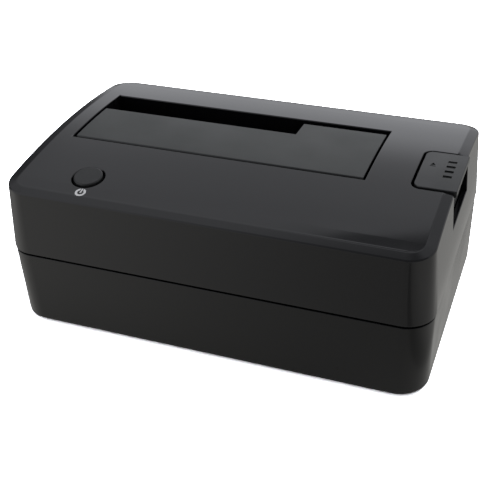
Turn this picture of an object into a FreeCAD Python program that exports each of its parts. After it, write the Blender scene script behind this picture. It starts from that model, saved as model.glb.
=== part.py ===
import FreeCAD, Part
import math
import os

# Hard drive docking station, in millimetres.
# Origin: centre of the footprint on the surface that the feet rest on.
# +X runs along the long front to the eject button's end, +Y to the back, +Z up.

Vector = FreeCAD.Vector

# Outer body. Length and width are those of the outer edge of the roof.
top_length = 140.8
top_width = 89.4
body_height = 55.8
parting_height = 28.3
wall_flare = 1.4
top_corner_radius = 8.0
bottom_corner_radius = 10.0
arch_rise = 3.9
bevel_width = 3.0
bevel_fall = 0.7
foot_proud = 1.0

# Moulded walls
wall = 2.2
roof_thickness = 2.5
floor_thickness = 2.0
lower_step = 0.3
lower_draft = 0.3
bottom_edge_radius = 1.2
bottom_edge_steps = 3

# Parting line: a shadow groove outside, and a tongue in a rebate inside
groove_height = 0.9
groove_depth = 1.0
rebate_depth = 1.4
rebate_height = 2.2
tongue_gap = 0.15

# Roof that is left beside and behind the bay opening. A drive 101.6 wide has its play in between.
left_margin = 9.2
right_margin = 28.1
back_margin = 19.3
side_play = 0.95

# Drive thickness, its play, the room that the open flap takes in front of it, and its connector
drive_thickness = 26.1
back_play = 0.5
flap_parking = 9.9
connector_from_side = 30.13
connector_from_face = 3.5

# Slot that the flap leaves for thin drives
small_drive_width = 69.85
small_slot_extra = 3.35
small_slot_depth = 12.6

# Bay tub under the roof
rim_wall = 1.6
rim_depth = 9.8
bay_floor_thickness = 2.0
toe_ledge_height = 2.5
toe_ledge_play = 0.6
bay_rib_thickness = 1.2
bay_rib_depth = 1.8
bay_rib_count = 5
slot_gap = 0.6

# Screws that hold the bay to the roof
bay_ear_radius = 3.4
bay_ear_reach = 4.0
bay_ear_thickness = 2.0
bay_ear_inset = 11.2
small_screw_radius = 1.1
small_screw_head_radius = 2.3
small_screw_head_height = 1.5
small_screw_bite = 4.0
blind_end = 0.5
screw_head_rounding = 0.45
screw_recess_reach = 0.6
screw_recess_half_width = 0.14
screw_recess_depth = 0.5

# Flap and its hinge
flap_gap = 0.8
flap_front_gap = 1.0
flap_back_gap = 3.1
flap_front_rounding = 0.6
flap_drop = 0.15
flap_thickness = 2.0
hinge_setback = 2.2
hinge_depth = 4.35
hinge_pin_radius = 1.0
knuckle_radius = 1.85
knuckle_length = 11.0
knuckle_inset = 1.2
flap_rib_depth = 1.6
flap_rib_thickness = 1.2
flap_rib_count = 4
stop_nub_width = 4.0
stop_nub_height = 1.0
flap_spring_wire_radius = 0.25
flap_spring_coil_radius = 1.55
flap_spring_turns = 6.25
flap_spring_pitch = 0.8
flap_spring_leg = 8.0

# Power button, its switch and its board
power_button_from_left = 26.5
power_button_from_front = 12.3
power_button_radius = 4.8
power_button_gap = 0.6
power_button_edge = 0.3
power_button_proud = 0.7
power_collar_depth = 3.8
power_collar_wall = 2.0
power_flange_width = 0.9
power_flange_thickness = 1.0
power_stem_radius = 1.5
power_stem_length = 0.8
plunger_radius = 1.6
plunger_length = 2.6
switch_size = 8.5
switch_height = 6.5
switch_edge = 0.5
switch_leg_radius = 0.4
switch_leg_length = 0.8
switch_leg_count = 3
power_stroke = 1.2
button_board_length = 28.0
button_board_width = 18.0
board_thickness = 1.6
button_board_corner_radius = 1.0
button_boss_inset = 2.5
button_boss_radius = 2.8
lamp_from_switch = 1.6
lamp_length = 3.2
lamp_width = 1.6
lamp_base_height = 0.6
lamp_lens_length = 2.0
lamp_lens_width = 1.4
lamp_lens_height = 0.6

# Eject button in its pocket at the right end
eject_length = 13.3
eject_width = 23.9
eject_middle = 1.65
eject_corner_radius = 2.5
eject_gap = 0.4
eject_left_gap = 0.8
eject_front_gap = 1.3
eject_reach = 0.4
eject_cap_thickness = 2.2
eject_skirt_wall = 1.4
eject_skirt_length = 11.2
eject_stroke = 7.0
notch_depth = 13.3
pocket_wall = 1.6
pocket_depth = 20.8
stem_from_left = 5.9
stem_radius = 2.6
guide_wall = 1.8
guide_length = 6.0
barb_width = 0.8
barb_height = 2.0
barb_slit = 1.0
eject_spring_wire_radius = 0.3
eject_spring_coil_radius = 3.5
eject_spring_turns = 6
coil_steps_per_turn = 16
coil_wire_sides = 6

# Ejector lever, a see-saw under the bay floor
lever_width = 5.0
lever_arm = 29.0
lever_pivot_lift = 5.5
lever_pin_radius = 1.25
lever_boss_radius = 3.0
lever_arm_height = 3.4
lever_nose_radius = 1.6
lever_nose_lift = 3.5
lever_tip_from_connector = 9.6
lever_bar_width = 5.0
lever_bar_setback = 5.4
lever_elbow = 12.0
ear_thickness = 1.8
ear_width = 7.0
lever_channel_height = 1.5

# Running and resting clearances
slide_gap = 0.08
held_gap = 0.03
touch_gap = 0.3

# How far a cut runs past the surface that it opens
over_cut = 1.0

# Main board and what it carries
board_standoff = 5.0
board_left_margin = 12.9
board_right_margin = 5.1
board_front_margin = 11.7
board_back_gap = 0.3
board_hole_inset = 3.5
board_corner_radius = 1.5
board_boss_radius = 3.0
connector_length = 43.0
connector_width = 6.0
connector_height = 11.0
connector_reach = 6.6
connector_corner_radius = 1.2
connector_shoulder = 0.4
connector_edge = 0.3
connector_bore_depth = 5.5
signal_pin_count = 7
power_pin_count = 15
pin_pitch = 1.27
pin_end_room = 1.4
slot_divider = 2.2
tongue_slot_width = 2.4
slot_key_length = 1.2
slot_key_depth = 0.8
contact_width = 0.6
contact_thickness = 0.35
contact_setback = 0.8
usb_from_connector = 6.1
usb_width = 9.6
usb_lower_height = 8.0
usb_upper_width = 6.6
usb_upper_height = 3.2
usb_depth = 17.0
usb_sheet = 0.4
usb_tongue_width = 5.8
usb_tongue_thickness = 3.2
usb_tongue_setback = 1.2
usb_blade_width = 3.8
usb_blade_thickness = 1.2
usb_blade_setback = 1.8
jack_from_board_left = 13.5
jack_width = 9.0
jack_height = 11.0
jack_depth = 14.0
jack_nose_radius = 4.3
jack_bore_radius = 3.1
jack_bore_depth = 9.5
jack_pin_radius = 1.05
jack_pin_setback = 1.0
jack_pin_rounding = 0.6
jack_edge = 0.8
port_gap = 0.3

# Small parts on the main board
chip_lift = 0.1
chip_edge = 0.25
chip_leg_width = 0.35
chip_leg_thickness = 0.25
chip_row_y = 4.0
bridge_chip_size = 10.0
bridge_chip_height = 1.3
bridge_chip_leg = 1.0
bridge_chip_leg_count = 9
bridge_chip_leg_pitch = 1.0
chip_from_board_right = 9.5
firmware_chip_length = 5.2
firmware_chip_width = 4.0
firmware_chip_height = 1.6
firmware_chip_leg = 0.9
firmware_chip_leg_count = 4
supply_row_from_front = 10.0
inductor_from_cable = 7.9
inductor_size = 7.0
inductor_height = 3.2
inductor_corner_radius = 1.2
inductor_dimple_radius = 2.2
inductor_dimple_depth = 0.3
crystal_length = 11.2
crystal_width = 4.8
crystal_base_height = 0.5
crystal_height = 3.5
crystal_rim = 0.5
capacitor_from_cable = 15.1
capacitor_spacing = 8.0
capacitor_count = 2
capacitor_from_front = 13.0
capacitor_radius = 3.15
capacitor_height = 8.0
capacitor_rounding = 0.5

# Cable between the two boards
cable_from_switch_x = 9.0
cable_from_switch_y = 5.5
header_length = 8.0
header_width = 4.4
header_height = 5.0
header_depth = 2.0
cable_width = 5.0
cable_thickness = 1.0
cable_bow = 3.0
cable_straight_end = 3.0

# Case screws and feet
post_from_end = 7.9
post_from_side = 7.7
post_radius = 3.9
post_gap = 0.3
post_step = 4.0
case_screw_radius = 1.5
case_screw_head_radius = 2.8
case_screw_head_height = 2.0
case_screw_bite = 7.0
screw_seat_thickness = 5.0
foot_from_end = 20.4
foot_from_side = 9.7
foot_radius = 5.5
foot_recess = 1.0
foot_rim = 1.2
foot_edge = 0.5

# Values that follow from the sizes above
edge_height = body_height - bevel_fall - arch_rise
arch_radius = ((top_width / 2) ** 2 + arch_rise ** 2) / (2 * arch_rise)
seam_top = parting_height + groove_height / 2
seam_bottom = parting_height - groove_height / 2
shell_bottom = foot_proud
floor_top = shell_bottom + floor_thickness
bay_left = left_margin - top_length / 2
bay_back = top_width / 2 - back_margin
bay_right = top_length / 2 - right_margin
bay_front = bay_back - back_play - drive_thickness - flap_parking
slot_right = bay_left + small_drive_width + small_slot_extra
slot_front = bay_back - small_slot_depth
hinge_y = bay_front + hinge_setback
rim_bottom = body_height - rim_depth
eject_left = top_length / 2 - eject_length
eject_front = eject_middle - eject_width / 2
eject_back = eject_middle + eject_width / 2
notch_bottom = body_height - notch_depth
pocket_floor = body_height - pocket_depth
stem_x = eject_left + stem_from_left
board_underside = floor_top + board_standoff
board_top = board_underside + board_thickness
connector_x = bay_left + side_play + connector_from_side
connector_y = bay_back - back_play - connector_from_face
bay_floor_top = board_top + connector_height - connector_reach
board_left = board_left_margin - top_length / 2
board_right = connector_x + connector_length / 2 + board_right_margin
board_front = board_front_margin - top_width / 2
board_back = top_width / 2 + wall_flare - lower_step - lower_draft - wall - board_back_gap
usb_x = connector_x + usb_from_connector
jack_x = board_left + jack_from_board_left
power_button_x = power_button_from_left - top_length / 2
power_button_y = power_button_from_front - top_width / 2
cable_x = power_button_x + cable_from_switch_x
cable_y = power_button_y + cable_from_switch_y
bridge_chip_x = connector_x
firmware_chip_x = board_right - chip_from_board_right
crystal_x = board_right - chip_from_board_right
inductor_x = cable_x + inductor_from_cable
capacitor_x = cable_x - capacitor_from_cable
lever_pivot_x = stem_x - lever_arm
lever_pivot_height = floor_top + lever_pivot_lift
lever_tip_x = connector_x + connector_length / 2 + lever_tip_from_connector
lever_bar_back = bay_back - lever_bar_setback
lever_elbow_x = lever_pivot_x + lever_elbow
post_x = top_length / 2 - post_from_end
post_y = top_width / 2 - post_from_side
foot_x = top_length / 2 - foot_from_end
foot_y = top_width / 2 - foot_from_side
lever_throw = 2 * math.degrees(math.asin(eject_stroke / 2 / lever_arm))
post_split = parting_height - post_step


def roof_line(y):
    """Height of the arched roof above the resting plane at a distance y from the middle."""
    return body_height - arch_radius + math.sqrt(arch_radius ** 2 - y ** 2)


hinge_height = roof_line(hinge_y) - hinge_depth
power_collar_height = roof_line(power_button_y) - power_collar_depth


# Building blocks

def block(x0, x1, y0, y1, z0, z1):
    """Box between two corners."""
    return Part.makeBox(x1 - x0, y1 - y0, z1 - z0, Vector(x0, y0, z0))


def centred_block(x, y, length, width, z0, z1):
    """Box about an upright centre line."""
    return block(x - length / 2, x + length / 2, y - width / 2, y + width / 2, z0, z1)


def upright(x, y, z0, z1, radius):
    """Round bar along Z."""
    return Part.makeCylinder(radius, z1 - z0, Vector(x, y, z0), Vector(0, 0, 1))


def bar_x(x0, x1, y, z, radius):
    """Round bar along X."""
    return Part.makeCylinder(radius, x1 - x0, Vector(x0, y, z), Vector(1, 0, 0))


def bar_y(x, y0, y1, z, radius):
    """Round bar along Y."""
    return Part.makeCylinder(radius, y1 - y0, Vector(x, y0, z), Vector(0, 1, 0))


def joined(shapes):
    """One solid from several that overlap or touch."""
    shapes = list(shapes)
    return shapes[0].multiFuse(shapes[1:]).removeSplitter() if len(shapes) > 1 else shapes[0]


def prism(points, direction):
    """Extrusion of a flat polygon."""
    return Part.Face(Part.makePolygon(points + points[:1])).extrude(direction)


def rounded_wire(x0, x1, y0, y1, z, left_radius, right_radius):
    """Rectangle at height z whose left and right corners are arcs; a radius of 0 leaves them square."""
    corners = [
        (x1, y0, right_radius, -1, 1), (x1, y1, right_radius, -1, -1),
        (x0, y1, left_radius, 1, -1), (x0, y0, left_radius, 1, 1),
    ]
    arcs = []
    for x, y, radius, sx, sy in corners:
        beside = Vector(x + sx * radius, y, z)
        above = Vector(x, y + sy * radius, z)
        bulge = radius * (1 - math.sqrt(0.5))
        middle = Vector(x + sx * bulge, y + sy * bulge, z)
        arcs.append((above, middle, beside) if sx == sy else (beside, middle, above))
    edges = []
    for index, (start, middle, end) in enumerate(arcs):
        edges.append(Part.LineSegment(arcs[index - 1][2], start).toShape())
        if start != end:
            edges.append(Part.Arc(start, middle, end).toShape())
    return Part.Wire(edges)


def centred_outline(half_length, half_width, radius, z):
    """Rounded rectangle about the origin at height z."""
    return rounded_wire(-half_length, half_length, -half_width, half_width, z, radius, radius)


def rounded_prism(x0, x1, y0, y1, z0, z1, left_radius, right_radius):
    """Upright prism on a rectangle with rounded corners."""
    face = Part.Face(rounded_wire(x0, x1, y0, y1, z0, left_radius, right_radius))
    return face.extrude(Vector(0, 0, z1 - z0))


def upper_outline(height, inset):
    """Outer outline of the upper shell at a height, moved in by inset."""
    slope = wall_flare / (edge_height - parting_height)
    grow = slope * (edge_height - height) - inset
    return centred_outline(top_length / 2 + grow, top_width / 2 + grow, top_corner_radius + grow, height)


def lower_outline(height, inset):
    """Outer outline of the lower shell at a height, moved in by inset."""
    share = (parting_height - height) / (parting_height - shell_bottom)
    grow = wall_flare - lower_step - lower_draft * share - inset
    top_radius = top_corner_radius + wall_flare - lower_step
    radius = top_radius + (bottom_corner_radius - top_radius) * share - inset
    return centred_outline(top_length / 2 + grow, top_width / 2 + grow, radius, height)


def tapered(low_wire, high_wire):
    """Solid with flat or conical sides between two outlines."""
    return Part.makeLoft([low_wire, high_wire], True, True)


def roof(drop):
    """Everything under the arched roof surface, lowered by drop."""
    centre = Vector(-top_length, 0, body_height - drop - arch_radius)
    cylinder = Part.makeCylinder(arch_radius, 2 * top_length, centre, Vector(1, 0, 0))
    cylinder.rotate(centre, Vector(1, 0, 0), 180)
    return cylinder


def seam_ring(outer_inset, inner_inset, z0, z1):
    """Upright ring that follows the parting outline between two insets."""
    rings = []
    for inset in (outer_inset, inner_inset):
        face = Part.Face(upper_outline(parting_height, inset))
        ring = face.extrude(Vector(0, 0, z1 - z0))
        ring.translate(Vector(0, 0, z0 - parting_height))
        rings.append(ring)
    return rings[0].cut(rings[1])


def on_helix(radius, pitch, turn):
    """Point of a helix along +Z after a number of turns."""
    angle = 2 * math.pi * turn
    return Vector(radius * math.cos(angle), radius * math.sin(angle), pitch * turn)


def coil(radius, wire_radius, pitch, turns):
    """Wire wound along +Z from the origin, bent in short straight steps."""
    steps = round(turns * coil_steps_per_turn)
    path = Part.makePolygon([on_helix(radius, pitch, turns * step / steps) for step in range(steps + 1)])
    start = on_helix(radius, pitch, 0)
    along = on_helix(radius, pitch, turns / steps) - start
    across = Vector(1, 0, 0)
    beside = along.cross(across).normalize()
    rim = []
    for side in range(coil_wire_sides + 1):
        angle = 2 * math.pi * side / coil_wire_sides
        rim.append(start + across * wire_radius * math.cos(angle) + beside * wire_radius * math.sin(angle))
    return path.makePipeShell([Part.makePolygon(rim)], True, False, 1)


def both_sides(x, y):
    """The four mirrored places of a point."""
    return [(sx * x, sy * y) for sx in (-1, 1) for sy in (-1, 1)]


def spread(first, last, count):
    """Evenly spaced values from first to last."""
    return [first + (last - first) * step / (count - 1) for step in range(count)]


def screw(x, y, head_bottom, head_height, head_radius, shaft_radius, tip):
    """Pan head screw that points up, with a blunt tip and a cross recess in its head."""
    head = upright(x, y, head_bottom, head_bottom + head_height, head_radius)
    rim = [edge for edge in head.Edges if abs(edge.BoundBox.ZMax - head_bottom) < 0.001]
    rim = [edge for edge in rim if edge.BoundBox.XLength > head_radius]
    head = head.makeChamfer(head_height * screw_head_rounding, rim)
    shaft = upright(x, y, head_bottom + head_height, tip, shaft_radius)
    arm = head_radius * screw_recess_reach
    slit = head_radius * screw_recess_half_width
    depth = head_height * screw_recess_depth
    recess = joined([
        block(x - arm, x + arm, y - slit, y + slit, head_bottom, head_bottom + depth),
        block(x - slit, x + slit, y - arm, y + arm, head_bottom, head_bottom + depth),
    ])
    return joined([head, shaft]).cut(recess)


# Places shared by more than one piece

def bay_screw_places():
    """Screws beside the bay, two in front of it and two behind it."""
    reach = rim_wall + bay_ear_reach
    places = []
    for x in (bay_left + bay_ear_inset, bay_right - bay_ear_inset):
        places.append((x, bay_front - reach))
        places.append((x, bay_back + reach))
    return places


def board_screw_places():
    """Screws near the corners of the main board."""
    xs = (board_left + board_hole_inset, board_right - board_hole_inset)
    ys = (board_front + board_hole_inset, board_back - board_hole_inset)
    return [(x, y) for x in xs for y in ys]


def button_boss_places():
    """Screws at both ends of the button board."""
    half = button_board_length / 2 - button_boss_inset
    return [(power_button_x - half, power_button_y), (power_button_x + half, power_button_y)]


plunger_top = power_collar_height - power_flange_thickness - power_stem_length
switch_top = plunger_top - plunger_length
button_board_top = switch_top - switch_height
button_board_bottom = button_board_top - board_thickness
knuckle_starts = [
    bay_left + knuckle_inset,
    (bay_left + bay_right - knuckle_length) / 2,
    bay_right - knuckle_inset - knuckle_length,
]
lever_front = eject_middle - lever_width / 2
lever_back = eject_middle + lever_width / 2
bay_underside = bay_floor_top - bay_floor_thickness
stem_bottom = lever_pivot_height + lever_nose_lift + lever_nose_radius + touch_gap
cap_outer = top_length / 2 + eject_reach


# Upper shell

def pocket_block(margin, z0, z1, right):
    """Room of the eject button between two heights, grown by margin."""
    left = eject_left_gap + margin
    return rounded_prism(
        eject_left - left, right, eject_front - eject_front_gap - margin,
        eject_back + eject_gap + margin, z0, z1, eject_corner_radius + left, 0,
    )


def under_roof(inset, drop):
    """Upper body inside its walls, moved in by inset, and under the roof lowered by drop."""
    over = body_height + roof_thickness
    return tapered(upper_outline(seam_top, inset), upper_outline(over, inset)).common(roof(drop))


def top_face(body):
    """The arched face of a body."""
    return max(body.Faces, key=lambda face: face.CenterOfMass.z)


def bevelled_body():
    """Upper body whose roof is bordered by a wide, low bevel that follows the arch."""
    walls = under_roof(0, bevel_fall)
    crown = under_roof(bevel_width, 0)
    low_top = top_face(walls)
    high_top = top_face(crown)
    faces = [face for face in walls.Faces if not face.isSame(low_top)] + [high_top]
    for low in low_top.OuterWire.Edges:
        middle = low.CenterOfMass
        high = min(high_top.OuterWire.Edges, key=lambda edge: edge.CenterOfMass.distanceToPoint(middle))
        faces.append(Part.makeRuledSurface(low, high))
    shell = Part.makeShell(faces)
    shell.sewShape()
    body = Part.makeSolid(shell)
    body.fix(0.001, 0.001, 0.001)
    return body


def upper_shell():
    """Roof and upper walls in one moulding, with its pockets, bosses and rims."""
    over = body_height + roof_thickness
    outer = bevelled_body()
    cavity = tapered(upper_outline(seam_top - over_cut, wall), upper_outline(over, wall))
    shell = outer.cut(cavity.common(roof(roof_thickness)))

    rim = block(
        bay_left - rim_wall, bay_right + rim_wall, bay_front - rim_wall, bay_back + rim_wall,
        rim_bottom, over,
    )
    pocket = pocket_block(pocket_wall, pocket_floor - pocket_wall, over, top_length / 2 - wall / 2)
    guide_bottom = pocket_floor - pocket_wall - guide_length
    guide = upright(stem_x, eject_middle, guide_bottom, pocket_floor, stem_radius + slide_gap + guide_wall)
    collar = upright(
        power_button_x, power_button_y, power_collar_height, over,
        power_button_radius + power_button_gap + power_collar_wall,
    )
    bosses = [upright(x, y, post_split + post_gap, over, post_radius) for x, y in both_sides(post_x, post_y)]
    bosses += [upright(x, y, rim_bottom, over, bay_ear_radius) for x, y in bay_screw_places()]
    bosses += [upright(x, y, button_board_top, over, button_boss_radius) for x, y in button_boss_places()]
    inside = joined([rim, pocket, guide, collar] + bosses).common(roof(roof_thickness / 2))
    shell = joined([shell, inside])

    cuts = [
        block(bay_left, bay_right, bay_front, bay_back, rim_bottom - over_cut, over),
        pocket_block(0, pocket_floor, over, top_length / 2 + wall_flare - wall - eject_gap),
        pocket_block(0, notch_bottom, over, top_length / 2 + 2 * wall_flare),
        upright(stem_x, eject_middle, guide_bottom - over_cut, over, stem_radius + slide_gap),
        upright(power_button_x, power_button_y, power_collar_height - over_cut, over,
                power_button_radius + power_button_gap),
        seam_ring(rebate_depth, 2 * wall, seam_top - over_cut, parting_height + rebate_height),
        bar_x(bay_left - 2 * rim_wall, bay_right + 2 * rim_wall, hinge_y, hinge_height,
              hinge_pin_radius + held_gap),
    ]
    for x, y in both_sides(post_x, post_y):
        cuts.append(upright(x, y, post_split, post_split + post_gap + case_screw_bite + blind_end,
                            case_screw_radius + held_gap))
    for x, y in bay_screw_places():
        cuts.append(upright(x, y, rim_bottom - over_cut, rim_bottom + small_screw_bite + blind_end,
                            small_screw_radius + held_gap))
    for x, y in button_boss_places():
        cuts.append(upright(x, y, button_board_top - over_cut,
                            button_board_top + small_screw_bite + blind_end, small_screw_radius + held_gap))
    return shell.cut(joined(cuts))


# Lower shell

def usb_profile(grow, y):
    """Outline of the USB socket, wide below and narrow above, grown all round."""
    z0 = board_top - grow
    z1 = board_top + usb_lower_height + grow
    z2 = board_top + usb_lower_height + usb_upper_height + grow
    half = usb_width / 2 + grow
    upper = usb_upper_width / 2 + grow
    return [
        Vector(usb_x - half, y, z0), Vector(usb_x + half, y, z0), Vector(usb_x + half, y, z1),
        Vector(usb_x + upper, y, z1), Vector(usb_x + upper, y, z2), Vector(usb_x - upper, y, z2),
        Vector(usb_x - upper, y, z1), Vector(usb_x - half, y, z1),
    ]


def jack_axis_height():
    """Height of the power jack's bore."""
    return board_top + jack_height / 2


def rounded_base():
    """Layers that round the lower edge of the body in a few slopes."""
    outlines = []
    for step in range(bottom_edge_steps + 1):
        angle = math.pi / 2 * step / bottom_edge_steps
        inset = bottom_edge_radius * (1 - math.sin(angle))
        rise = bottom_edge_radius * (1 - math.cos(angle))
        outlines.append(lower_outline(shell_bottom + rise, inset))
    return [tapered(low, high) for low, high in zip(outlines, outlines[1:])]


def lower_shell():
    """Floor and lower walls in one moulding, with posts, ports and foot recesses."""
    outer = joined(rounded_base() + [tapered(lower_outline(shell_bottom + bottom_edge_radius, 0),
                                             lower_outline(seam_bottom, 0))])
    cavity = tapered(lower_outline(floor_top, wall), lower_outline(seam_bottom + over_cut, wall))
    shell = outer.cut(cavity)
    inner = lower_step + wall
    solids = [
        shell,
        seam_ring(groove_depth, inner, seam_bottom, seam_top),
        seam_ring(rebate_depth + tongue_gap, inner, seam_top, parting_height + rebate_height - tongue_gap),
    ]
    under = (shell_bottom + floor_top) / 2
    solids += [upright(x, y, under, post_split, post_radius) for x, y in both_sides(post_x, post_y)]
    solids += [upright(x, y, under, board_underside, board_boss_radius) for x, y in board_screw_places()]
    solids += [upright(x, y, shell_bottom + foot_recess, floor_top + foot_recess, foot_radius + foot_rim)
               for x, y in both_sides(foot_x, foot_y)]
    for y in (lever_front - wall, lever_back + wall):
        solids.append(block(board_right + wall, post_x, y - bay_rib_thickness / 2,
                            y + bay_rib_thickness / 2, under, floor_top + lever_channel_height))
    shell = joined(solids)

    cuts = []
    back = top_width
    for x, y in both_sides(post_x, post_y):
        cuts.append(upright(x, y, 0, post_split - screw_seat_thickness, case_screw_head_radius + port_gap))
        cuts.append(upright(x, y, 0, post_split + over_cut, case_screw_radius + port_gap))
    for x, y in board_screw_places():
        cuts.append(upright(x, y, board_underside - small_screw_bite - blind_end, board_underside + over_cut,
                            small_screw_radius + held_gap))
    for x, y in both_sides(foot_x, foot_y):
        cuts.append(upright(x, y, 0, shell_bottom + foot_recess, foot_radius))
    cuts.append(prism(usb_profile(usb_sheet + port_gap, board_back), Vector(0, back, 0)))
    cuts.append(bar_y(jack_x, board_back - wall, back, jack_axis_height(), jack_nose_radius + port_gap))
    return shell.cut(joined(cuts))


# Drive bay

def connector_block(grow, z0, z1):
    """Rounded outline of the drive connector between two heights."""
    half = connector_length / 2 + grow
    deep = connector_width / 2 + grow
    return rounded_prism(connector_x - half, connector_x + half, connector_y - deep, connector_y + deep,
                         z0, z1, connector_corner_radius + grow, connector_corner_radius + grow)


def drive_bay():
    """Tub that hangs under the roof and guides a drive down to its connector."""
    left = bay_left - rim_wall
    right = bay_right + rim_wall
    front = bay_front - rim_wall
    back = bay_back + rim_wall
    solids = [block(left, right, front, back, bay_underside, rim_bottom)]
    for x, y in bay_screw_places():
        low = rim_bottom - bay_ear_thickness
        y0, y1 = sorted((y, front if y < 0 else back))
        solids.append(upright(x, y, low, rim_bottom, bay_ear_radius))
        solids.append(block(x - bay_ear_radius, x + bay_ear_radius, y0, y1, low, rim_bottom))
    for x in spread(left + bay_ear_radius, right - bay_ear_radius, bay_rib_count):
        for y0 in (front - bay_rib_depth, back):
            ribs = block(x - bay_rib_thickness / 2, x + bay_rib_thickness / 2, y0, y0 + bay_rib_depth,
                         bay_underside, rim_bottom - bay_ear_thickness)
            if y0 > 0:
                ribs = ribs.cut(block(left, right, y0, y0 + bay_rib_depth, bay_underside,
                                      board_top + usb_lower_height + usb_upper_height + 2 * wall))
            solids.append(ribs)
    ear_bottom = lever_pivot_height - ear_width / 2
    for y0 in (lever_front - touch_gap - ear_thickness, lever_back + touch_gap):
        ear = block(lever_pivot_x - ear_width / 2, lever_pivot_x + ear_width / 2, y0, y0 + ear_thickness,
                    lever_pivot_height, bay_floor_top)
        solids.append(ear)
        solids.append(bar_y(lever_pivot_x, y0, y0 + ear_thickness, ear_bottom + ear_width / 2, ear_width / 2))
    tub = joined(solids)

    ledge_back = bay_back - back_play - drive_thickness - toe_ledge_play
    ledge_top = bay_floor_top + toe_ledge_height
    inside = joined([
        block(bay_left, bay_right, bay_front, bay_back, ledge_top, rim_bottom + over_cut),
        block(bay_left, bay_right, ledge_back, bay_back, bay_floor_top, ledge_top + over_cut),
    ])
    low = bay_underside - over_cut
    high = bay_floor_top + over_cut
    cuts = [
        inside,
        block(bay_left, bay_right, bay_front, ledge_back - rim_wall, low, ledge_top - bay_floor_thickness),
        connector_block(slot_gap, low, high),
        block(lever_tip_x - 2 * slot_gap, lever_pivot_x + lever_boss_radius, lever_front - touch_gap,
              lever_back + touch_gap, low, high),
        block(lever_tip_x - 2 * slot_gap, lever_tip_x + lever_bar_width + 2 * slot_gap,
              lever_front - touch_gap, lever_bar_back + slot_gap, low, high),
        bar_y(lever_pivot_x, lever_front - ear_width, lever_back + ear_width, lever_pivot_height,
              lever_pin_radius + held_gap),
    ]
    for x, y in bay_screw_places():
        cuts.append(upright(x, y, bay_underside, rim_bottom + over_cut, small_screw_radius + port_gap))
    return tub.cut(joined(cuts))


# Flap

def flap_door():
    """Drop-down lid with a corner cut out for thin drives, and its hinge knuckles and ribs."""
    x0 = bay_left + flap_gap
    x1 = bay_right - flap_gap
    y0 = bay_front + flap_front_gap
    y1 = bay_back - flap_back_gap
    low = rim_bottom
    outline = [
        Vector(x0, y0, low), Vector(x1, y0, low), Vector(x1, y1, low),
        Vector(slot_right, y1, low), Vector(slot_right, slot_front, low), Vector(x0, slot_front, low),
    ]
    column = prism(outline, Vector(0, 0, body_height))
    plate = column.common(roof(flap_drop)).cut(roof(flap_drop + flap_thickness))
    front_top = [edge for edge in plate.Edges
                 if edge.BoundBox.YMax < y0 + touch_gap and edge.BoundBox.XLength > slot_right
                 and edge.BoundBox.ZMin > roof_line(y0) - flap_thickness]
    plate = plate.makeFillet(flap_front_rounding, front_top)
    ribs = []
    for x in spread(x0 + knuckle_length, x1 - knuckle_length, flap_rib_count):
        back = y1 if x > slot_right else slot_front
        ribs.append(block(x - flap_rib_thickness / 2, x + flap_rib_thickness / 2,
                          hinge_y + 2 * knuckle_radius, back - flap_rib_depth, low, body_height))
    ribs.append(block(slot_right + flap_rib_thickness, slot_right + 2 * flap_rib_thickness,
                      slot_front, y1 - flap_rib_depth, low, body_height))
    ribs.append(block(x0 + knuckle_length, x1 - knuckle_length, slot_front - 2 * flap_rib_thickness,
                      slot_front - flap_rib_thickness, low, body_height))
    ribbing = joined(ribs).common(roof(flap_drop + flap_thickness / 2))
    ribbing = ribbing.cut(roof(flap_drop + flap_thickness + flap_rib_depth))
    knuckles = []
    for start in knuckle_starts:
        end = start + knuckle_length
        knuckles.append(bar_x(start, end, hinge_y, hinge_height, knuckle_radius))
        knuckles.append(block(start, end, hinge_y - knuckle_radius, hinge_y + knuckle_radius,
                              hinge_height, roof_line(hinge_y) - flap_drop - flap_thickness / 2))
        nub_low = roof_line(bay_front) - flap_drop - flap_thickness
        middle = (start + end) / 2
        knuckles.append(block(middle - stop_nub_width / 2, middle + stop_nub_width / 2, bay_front,
                              y0 + flap_thickness, nub_low, nub_low + stop_nub_height))
    flap = joined([plate, ribbing] + knuckles)
    bore = bar_x(bay_left, bay_right, hinge_y, hinge_height, hinge_pin_radius + slide_gap)
    return flap.cut(bore)


def flap_hinge_pin():
    """Steel pin that runs from rim to rim through the flap's knuckles."""
    return bar_x(bay_left - rim_wall, bay_right + rim_wall, hinge_y, hinge_height, hinge_pin_radius)


def flap_spring():
    """Torsion spring on the pin: one leg under the flap, one against the front rim."""
    winding = coil(flap_spring_coil_radius, flap_spring_wire_radius, flap_spring_pitch, flap_spring_turns)
    length = flap_spring_pitch * flap_spring_turns
    flap_leg = Part.makeCylinder(flap_spring_wire_radius, flap_spring_leg,
                                 Vector(flap_spring_coil_radius, 0, 0), Vector(0, -1, 0))
    rim_leg = Part.makeCylinder(flap_spring_wire_radius, flap_spring_leg / 2,
                                Vector(0, flap_spring_coil_radius, length), Vector(-1, 0, 0))
    spring = joined([winding, flap_leg, rim_leg])
    spring.rotate(Vector(0, 0, 0), Vector(0, 1, 0), 90)
    spring.rotate(Vector(0, 0, 0), Vector(1, 0, 0), 180)
    start = knuckle_starts[1] + knuckle_length + 2 * touch_gap
    spring.translate(Vector(start, hinge_y, hinge_height))
    return spring


# Power button group

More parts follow.
